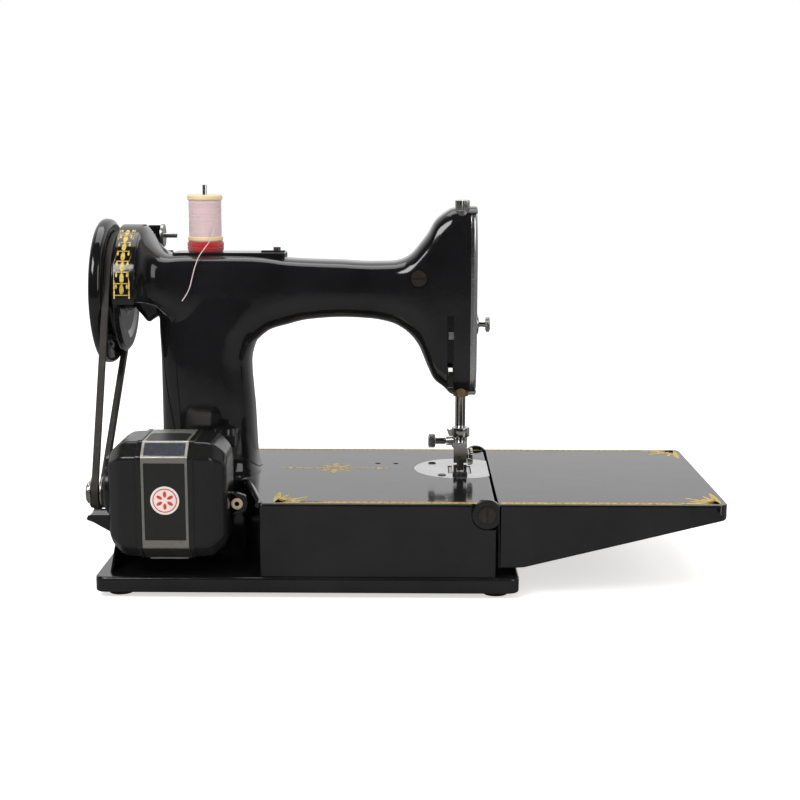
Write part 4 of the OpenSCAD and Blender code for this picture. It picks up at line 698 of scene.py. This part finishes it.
SHELL = [(14.02, 0.05), (14.3, -0.25), (16.6, -0.25), (17.1, 0.1), (17.3, 0.55), (22, 0.7), (25.5, 1.1), (27.5, 1.9),
         (29.5, 3.3), (33.2, 6.6), (34.8, 8.6), (35.7, 10.8), (36.0, 13.2), (36.0, 17)]
for side, tag in ((-1, "pulley_end"), (1, "far_end")):
    loft("motor_shell_" + tag, [[(MX + side * a, *p) for p in motor_section(d, r=3.4)] for a, d in SHELL], BLACK_MOTOR,
         "machine", angle=50, slot="phenolic", replace=["motor_shells"])
loft("motor_sleeve", [[(MX + a, *p) for p in motor_section(d, r=1.6)] for a, d in
                      ((-14, 3), (-14, 0.25), (-13.8, 0.05), (13.8, 0.05), (14, 0.25), (14, 3))], SILVER, "machine",
     angle=50, slot="enamel", replace=["motor_band"])


def facet_panel(name, centre_y, centre_z, normal, w, h, mat, z_off=0.0, round_r=0.6, thick=0.16, x_mid=MX):
    """Thin plate on a facet of the band: w along X, h along the facet."""
    n = np.array(normal, float)
    n /= np.linalg.norm(n)
    t = np.array([-n[1], n[0]])
    rings = []
    for k, (ins, lift) in enumerate(((0, -0.05), (0, thick * 0.6), (0.12, thick))):
        ring = []
        for u, v in fillet([(-w / 2 + ins, -h / 2 + ins), (w / 2 - ins, -h / 2 + ins), (w / 2 - ins, h / 2 - ins),
                            (-w / 2 + ins, h / 2 - ins)], round_r, seg=3):
            q = np.array([centre_y, centre_z]) + t * (v + z_off) + n * lift
            ring.append((x_mid + u, q[0], q[1]))
        rings.append(ring)
    return loft(name, rings, mat, "machine", angle=30, slot="phenolic")


facet_panel("band_front", MY - 27, MZ + 0.6, (-1, 0), 24.6, 47.0, PANEL)
# The chamfer panel uses the lighter bluish copy, a painted reflection of the overhead light.
facet_panel("band_chamfer", MY - 22.75, MZ + 31.75, (-1, 1), 24.6, 9.0, REFLECTION_PANEL)
facet_panel("band_top", MY - 6, MZ + 36, (0, 1), 24.6, 22.0, PANEL, round_r=2.2)
facet_panel("band_lower", MY - 22.75, MZ - 31.75, (-1, -1), 27.6, 9.6, PANEL)
lathe("emblem_disc", fillet([(0, 0), (0, 8.6), (0.28, 8.6), (0.35, 0)], [0, 0, 0.1, 0], closed=False),
      (MX + 0.2, MY - 27.45, MZ + 1.6), "Y", EMBLEM, "machine", slot="phenolic")
for k in range(6):
    a = math.pi / 3 * k + math.pi / 6
    c, s = math.cos(a), math.sin(a)
    petal = [(3.7 * c + 1.9 * math.cos(t) * c - 1.0 * math.sin(t) * s,
              3.7 * s + 1.9 * math.cos(t) * s + 1.0 * math.sin(t) * c)
             for t in (2 * math.pi * i / 20 for i in range(20))]
    loft("emblem_petal_%d" % k, [[(MX + 0.2 + u, MY - 27.44 - q, MZ + 1.6 + v) for u, v in petal] for q in (0, 0.1)],
         EMBLEM_RED, "machine", slot="phenolic")
lathe("emblem_ring", [(0, 6.7), (0, 7.3), (-0.08, 7.3), (-0.08, 6.7)], (MX + 0.2, MY - 27.45, MZ + 1.6), "Y",
      EMBLEM_RED, "machine", slot="phenolic")
prism("motor_lip", fillet([(MX - 12, MY - 16), (MX + 12, MY - 16), (MX + 12, MY + 16), (MX - 12, MY + 16)], 2), 23.4,
      25.1, SILVER, "machine", edge=(0.5, 0.3), slot="steel")
# pulley-end bearing boss, guard block and tab
lathe("motor_boss", fillet([(-122.9, 4.2), (-122.9, 14.6), (-121.3, 16.5), (-112, 16.5), (-112, 4.2)],
                           [0.2, 1, 1, 0, 0]), (0, MY, MZ + 3), "X", BLACK_MOTOR, "machine", slot="phenolic")
prism("guard_block", fillet([(-122, MY - 10), (-115.4, MY - 10), (-115.4, MY + 4), (-122, MY + 4)], 1.2), MZ + 18,
      MZ + 23.5, BLACK_MOTOR, "machine", edge=(0, 0.8), slot="phenolic")
prism("guard_tab", fillet([(-117.4, 48), (-133.4, 48), (-134.4, 46), (-130.4, 44.5), (-117.4, 37)][::-1],
                          [0, 1, 0.8, 0.8, 0]), -MY - 8, -MY + 8, BLACK_MOTOR, "machine", plane="XZ", edge=(0.6, 0.6),
      slot="phenolic")
lathe("motor_pulley_body", fillet([(-135.6, 0), (-135.6, 5.6), (-134.6, 6.9), (-132.9, 6.9), (-132.8, 9.6), (-131.6, 9.6),
                                   (-131.6, 6.2), (-126.4, 6.2), (-126.4, 9.6), (-125, 9.6), (-125, 0)],
                                  [0, .9, .8, .3, .5, .5, .4, .4, .5, .4, 0], closed=False), (0, MY, MZ), "X", STEEL,
      "motor_rotor", slot="steel", replace=["motor_pulley"])
# terminal lug with its insulator
EYE = (-43.6, 54.5)
lug = prism("lug", fillet([(-47.4, 47.7), (-43.6, 47.7), (-38.2, 49.5), (-36.8, 54.5), (-38.2, 59.5), (-43.6, 61.3),
                           (-47.4, 61.3)], [0.4, 2, 3, 4, 3, 2, 0.4], seg=5), -MY - 2, -MY + 2, BLACK_MOTOR, None,
            plane="XZ", edge=(0.5, 0.5))
cut(lug, tool_rod("Y", MY - 4, MY + 4, (EYE[0], 0, EYE[1]), 3.62, 40))
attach(lug, "machine")
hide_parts("terminal_lug")
lathe("lug_insulator", fillet([(-67.5, 1.5), (-67.5, 3.2), (-67, 3.6), (-63.5, 3.6), (-63.5, 1.5)],
                              [0.2, 0.3, 0.2, 0.2, 0.1]), (EYE[0], 0, EYE[1]), "Y", INSULATOR, "machine", seg=40,
      slot="phenolic")

# ---------------------------------------------------------------- sewing head
face = loft("face_cover", [[(HEAD_END + a, *q[1:]) for q in
                            arm_ring((0, HEAD_BOTTOM + d, 171.7, HEAD_TOP - d, 22.7 - d, 4.8, 4.8), 128)]
                           for a, d in ((0.02, 0.35), (0.4, 0), (2.2, 0), (3.3, 0.5), (4.1, 1.5), (4.5, 3), (4.8, 5.5))],
            FACE, None, angle=60)
cut(face, tool_box((90, -40, 90), (120, 70, HEAD_BOTTOM + 4.3)),
    tool_box((90, -40, HEAD_TOP - 4.3), (120, 70, 250)), angle=60)
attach(face, "machine")
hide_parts("face_plate")
lathe("face_boss", fillet([(103.5, 0), (103.5, 6.9), (106.4, 6.5), (107.1, 0)], [0, 0.3, 1.2, 0], closed=False), (0, 8, 157), "X",
      CHROME, "machine", slot="nickel")
knurled_knob("face_knob", 111, 114, (8, 157), 5.2, "face_screw", "face_plate_screw", ridges=26, depth=0.35)
rod("face_screw_shank", "X", 99, 111.2, (0, 8, 157), 2, CHROME, "face_screw")
knurled_knob("pressure_knob", 230.5, 237.5, (NEEDLE[0], 1.0), 4.65, "pressure", "pressure_screw", ridges=24, axis="Z",
             depth=0.3)
rod("pressure_sleeve", "Z", 196, 231, (NEEDLE[0], 1.0, 0), 4.6, STEEL, "pressure", bore=3.25)
knurled_knob("needle_knob", 74.2, 79.2, (14, 78), 4.6, "needle_screw", "needle_clamp_screw", ridges=22, depth=0.35)
rod("needle_knob_neck", "X", 79, 85.9, (0, 14, 78), 2.3, CHROME, "needle_screw")
rod("needle_knob_shank", "X", 85.5, 94.1, (0, 14, 78), 1.48, CHROME, "needle_screw", chamfer=0.1)
knurled_knob("foot_knob", 99.8, 103.6, (1, 70.3), 5.7, "foot_screw", "foot_screw", ridges=26, depth=0.35)
rod("foot_knob_shank", "X", 96.2, 100, (0, 1, 70.3), 1.55, CHROME, "foot_screw", chamfer=0.1)
knurled_knob("tension_knob", 48.5, 55.5, (88, 146), 7, "tension", "tension_nut", ridges=30, axis="Y", depth=0.5)
rod("gauge_plate_screw_a", "Z", 57, 58.9, (77.2, 33.3, 0), 2.55, CHROME, "machine", slot="steel")

# ---------------------------------------------------------------- spool, felt and thread
FELT0 = ARM_TOP
lathe("felt_ring", fillet([(FELT0 + 0.02, 1.5), (FELT0 + 0.02, 11.2), (FELT0 + 2.6, 12.0), (FELT0 + 3.4, 11.4),
                           (FELT0 + 4.2, 12.0), (FELT0 + 6.6, 11.6), (FELT0 + 6.6, 1.5)],
                          [0, 1, 1, 0.6, 1, 1, 0], seg=4), (SPOOL_X, ARM_Y, 0), "Z", RED_FELT, "machine", seg=96,
      replace=["spool_felt"], slot="felt")
Z0 = ARM_TOP + 6.8
lathe("spool_body", fillet([(Z0, 1.5), (Z0, 10.6), (Z0 + 1, 11.4), (Z0 + 2.6, 11.4), (Z0 + 3.3, 10.9), (Z0 + 3.4, 6.1),
                            (Z0 + 26.4, 6.1), (Z0 + 26.5, 10.9), (Z0 + 27.2, 11.4), (Z0 + 29, 11.4), (Z0 + 30, 10.6),
                            (Z0 + 30, 7.5), (Z0 + 29.4, 6.8), (Z0 + 29.4, 1.5)], 0.5, seg=3), (SPOOL_X, ARM_Y, 0), "Z",
      CREAM, "spool", seg=96, replace=["thread_spool"], slot="spool")
winding = [(Z0 + 3.35, 6.0)]
rng = np.random.default_rng(7)
turns = 92
for k in range(turns):
    z = Z0 + 3.4 + (k + 0.5) * 23.0 / turns
    r = 10.65 - 0.35 * abs(math.sin(k * 0.37)) * rng.random()
    winding += [(z - 0.06, r), (z + 0.06, r), (z + 0.125, r - 0.13)]
winding.append((Z0 + 26.45, 6.0))
lathe("thread_winding", winding, (SPOOL_X, ARM_Y, 0), "Z", THREAD, "spool", seg=72, angle=80, replace=["spool_thread"],
      slot="thread")
curve = bpy.data.curves.new("thread_end", "CURVE")
curve.dimensions = "3D"
curve.bevel_depth = 0.3 * MM
curve.bevel_resolution = 3
curve.resolution_u = 8
path = curve.splines.new("POLY")
fine = []
for k in range(3):
    fine.append(spline(range(len(THREAD_ROUTE)), [p[k] for p in THREAD_ROUTE], np.linspace(0, len(THREAD_ROUTE) - 1, 41)))
route = list(zip(*[[float(v) * MM for v in c] for c in fine]))
path.points.add(len(route) - 1)
for p, q in zip(path.points, route):
    p.co = (*q, 1)
tail = bpy.data.objects.new("thread_end", curve)
SCENE.collection.objects.link(tail)
curve.materials.append(THREAD)
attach(tail, "machine")
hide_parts("thread_tail")

# ---------------------------------------------------------------- carried-over metal parts
soften(["needle_plate"], FACE, 0.12)
soften(["needle_bar", "presser_bar", "needle_clamp", "thread_cutter", "foot_holder", "presser_foot", "presser_lifter",
        "take_up_lever", "tension_discs", "spool_pin", "stitch_plate", "stitch_lever", "tray_thumb_nut"], CHROME, 0.3)
soften(["needle", "feed_dog", "feed_bar", "rotary_hook", "hook_shaft", "upright_shaft", "arm_shaft", "crank_disc",
        "needle_bar_link", "bobbin_case", "bobbin", "motor_shaft", "winder_spindle"], STEEL, 0.2)
soften(["small_screws"], DARK_STEEL, 0.15)
soften(["upright_gears", "arm_gear", "presser_spring", "motor_core"], STEEL, 0)
soften(["table_hinge_screws"], DARK_STEEL, 0.3)
soften(["shaft_bushings"], BRONZE, 0.2)
soften(["rubber_feet"], FEET, 0.5)
soften(["tray_felt"], GREY_FELT, 0.3)
soften(["drip_tray", "motor_bracket"], CRACKLE, 0.5)
soften(["bobbin_winder"], BLACK, 0.8)
soften(["lamp"], BLACK, 0.8)

# ---------------------------------------------------------------- gold transfers
def leaf(at, length, width, angle, n=14):
    """Pointed leaf that starts at a point and runs along an angle in degrees."""
    c, d = math.cos(math.radians(angle)), math.sin(math.radians(angle))
    out = []
    for k in range(n):
        t = 2 * math.pi * k / n
        u = length * (0.5 - 0.5 * math.cos(t))
        v = width / 2 * math.sin(t) * (1 - 0.35 * u / length)
        out.append((at[0] + u * c - v * d, at[1] + u * d + v * c))
    return out


def strip(u0, u1, v0, v1, steps=1):
    """Rectangle whose long sides along v are cut into steps."""
    up = [(u1, v0 + (v1 - v0) * k / steps) for k in range(steps + 1)]
    return up + [(u0, v) for _, v in reversed(up)]


def transfer(name, shapes, place, body, lift=0.06):
    verts, faces = [], []
    for shape in shapes:
        a, n = len(verts), len(shape)
        verts += [place(u, v, 0.0) for u, v in shape] + [place(u, v, lift) for u, v in shape]
        faces += [tuple(range(a + n, a + 2 * n)), tuple(range(a, a + n))]
        faces += [(a + i, a + (i + 1) % n, a + n + (i + 1) % n, a + n + i) for i in range(n)]
    return mesh(name, verts, faces, GOLD, body, slot="enamel")


def border(x0, x1, side, pitch=4.2):
    """Edge band: a broad line, a fine line and a row of small leaves between them."""
    y = [side * v for v in (82.0 - 1.6, 82.0 - 3.2, 82.0 - 5.0, 82.0 - 5.6)]
    out = [strip(x0, x1, min(y[0], y[1]), max(y[0], y[1])), strip(x0, x1, min(y[2], y[3]), max(y[2], y[3]))]
    for k in range(int((x1 - x0) / pitch)):
        out.append(leaf((x0 + k * pitch, (y[1] + y[2]) / 2), pitch * 0.86, 1.5, 0))
    return out


def corner(at, start, turn):
    """Fan of leaves in a corner, from one edge to the other."""
    out = []
    for k in range(6):
        reach = (30, 19, 25, 15, 21, 27)[k]
        out.append(leaf(at, reach, 4.6 if k % 2 else 3.6, start + turn * k))
    return out


def on_bed(u, v, lift):
    return (u, v, BED_H + lift)


def on_hood(u, v, lift):
    t, r = v / 43.5, 43.5 + lift
    return (u, ARM_Y - r * math.cos(t), SHAFT_Z + r * math.sin(t))


ORNAMENT = (12.0, 17.0)
middle = []
for s in (-1, 1):
    middle.append(strip(min(s * 15, s * 28) + ORNAMENT[0], max(s * 15, s * 28) + ORNAMENT[0], 16.1, 17.9))
    middle.append(leaf((ORNAMENT[0] + s * 27, 17), 5.5, 5.4, 0 if s > 0 else 180))
    middle.append(leaf((ORNAMENT[0] + s * 32.5, 17), 4.5, 2.6, 0 if s > 0 else 180))
    for k in range(3):
        middle.append(leaf((ORNAMENT[0] + s * 2.2, 17 + (k - 1) * 3.0), 12.5 - abs(k - 1) * 2.5, 3.6, (0 if s > 0 else 180)
                           + s * (k - 1) * 38))
    middle.append(leaf((ORNAMENT[0], 17 + s * 4), 11, 5.0, s * 90))
transfer("bed_transfer", border(-4, 113.5, -1) + border(-98, 113.5, 1) + corner((-19, -79), 4, 17) + middle, on_bed,
         "machine")
transfer("table_transfer", border(117.4, 226, -1) + border(117.4, 226, 1) + corner((249, -78.5), 176, -17)
         + corner((249, 78.5), 184, 17), on_bed, "table")
hood_marks = [strip(u, u + 0.9, -1, 52, 24) for u in (-123.6, -114.3)]
for k in range(7):
    v = 1.5 + 7.3 * k
    hood_marks += [leaf((-118.5, v), 6.6, 3.4, 90), leaf((-121.9, v + 3.6), 3.0, 1.6, 90), leaf((-115.1, v + 3.6), 3.0, 1.6, 90)]
    hood_marks.append(strip(-122.4, -114.6, v - 0.7, v - 0.1))
transfer("hood_transfer", hood_marks, on_hood, "machine", 0.08)

# ---------------------------------------------------------------- floor, light and background
floor_mat, nt, b = material("floor_paper")
b.inputs["Roughness"].default_value = 0.9
out = nt.nodes["Material Output"]
paper = ramp(nt, noise(nt, 3.0, 2.0), [(0.3, (0.86, 0.855, 0.85)), (0.7, (0.88, 0.875, 0.87))])
seen = node(nt, "ShaderNodeLightPath")
shade = node(nt, "ShaderNodeMix", data_type="RGBA", blend_type="MULTIPLY")
shade.inputs[7].default_value = (0.22, 0.22, 0.22, 1)
nt.links.new(seen.outputs["Is Glossy Ray"], shade.inputs[0])
nt.links.new(paper, shade.inputs[6])
nt.links.new(shade.outputs[2], b.inputs["Base Color"])
glow = node(nt, "ShaderNodeMath", operation="MULTIPLY")
glow.inputs[1].default_value = 0.62
nt.links.new(seen.outputs["Is Camera Ray"], glow.inputs[0])
b.inputs["Emission Color"].default_value = (1.0, 0.985, 0.965, 1)
nt.links.new(glow.outputs[0], b.inputs["Emission Strength"])
bpy.ops.mesh.primitive_plane_add(size=8, location=(0, 2.2, -0.00005))
floor = bpy.context.object
floor.name = "floor"
floor.data.materials.append(floor_mat)

world = bpy.data.worlds.new("studio")
SCENE.world = world
world.use_nodes = True
wt = world.node_tree
background = wt.nodes["Background"]
background.inputs["Color"].default_value = (1, 1, 1, 1)
plain = wt.nodes.new("ShaderNodeBackground")
plain.inputs["Color"].default_value = (0.96, 0.97, 1.0, 1)
plain.inputs["Strength"].default_value = 0.62
studio = wt.nodes.new("ShaderNodeBackground")
direction = wt.nodes.new("ShaderNodeTexCoord")
split = wt.nodes.new("ShaderNodeSeparateXYZ")
fade = wt.nodes.new("ShaderNodeMapRange")
fade.interpolation_type = "SMOOTHSTEP"
fade.inputs["From Min"].default_value = -0.1
fade.inputs["From Max"].default_value = 0.7
fade.inputs["To Min"].default_value = 0.012
fade.inputs["To Max"].default_value = 1.0
wt.links.new(direction.outputs["Generated"], split.inputs[0])
wt.links.new(split.outputs["Y"], fade.inputs["Value"])
wt.links.new(fade.outputs["Result"], studio.inputs["Strength"])
rays = wt.nodes.new("ShaderNodeLightPath")
mirror = wt.nodes.new("ShaderNodeMixShader")
wt.links.new(rays.outputs["Is Glossy Ray"], mirror.inputs["Fac"])
wt.links.new(plain.outputs[0], mirror.inputs[1])
wt.links.new(studio.outputs[0], mirror.inputs[2])
join = wt.nodes.new("ShaderNodeMixShader")
wt.links.new(rays.outputs["Is Camera Ray"], join.inputs["Fac"])
wt.links.new(mirror.outputs[0], join.inputs[1])
wt.links.new(background.outputs[0], join.inputs[2])
wt.links.new(join.outputs[0], wt.nodes["World Output"].inputs["Surface"])


def area(name, at, look, size, power, colour=(1, 1, 1)):
    light = bpy.data.lights.new(name, "AREA")
    light.shape = "RECTANGLE"
    light.size, light.size_y = size
    light.energy = power
    light.color = colour
    ob = bpy.data.objects.new(name, light)
    SCENE.collection.objects.link(ob)
    ob.location = at
    ob.rotation_euler = (Vector(look) - Vector(at)).to_track_quat("-Z", "Y").to_euler()
    return ob


area("key", (-0.7, -0.9, 1.1), (0, 0, 0.12), (0.7, 0.5), 9)
area("fill", (1.1, -0.8, 0.7), (0.05, 0, 0.1), (0.6, 0.9), 4)
area("top", (0.0, 0.3, 1.3), (0, 0, 0.1), (1.2, 0.8), 7)

SCENE.view_settings.view_transform = "Standard"
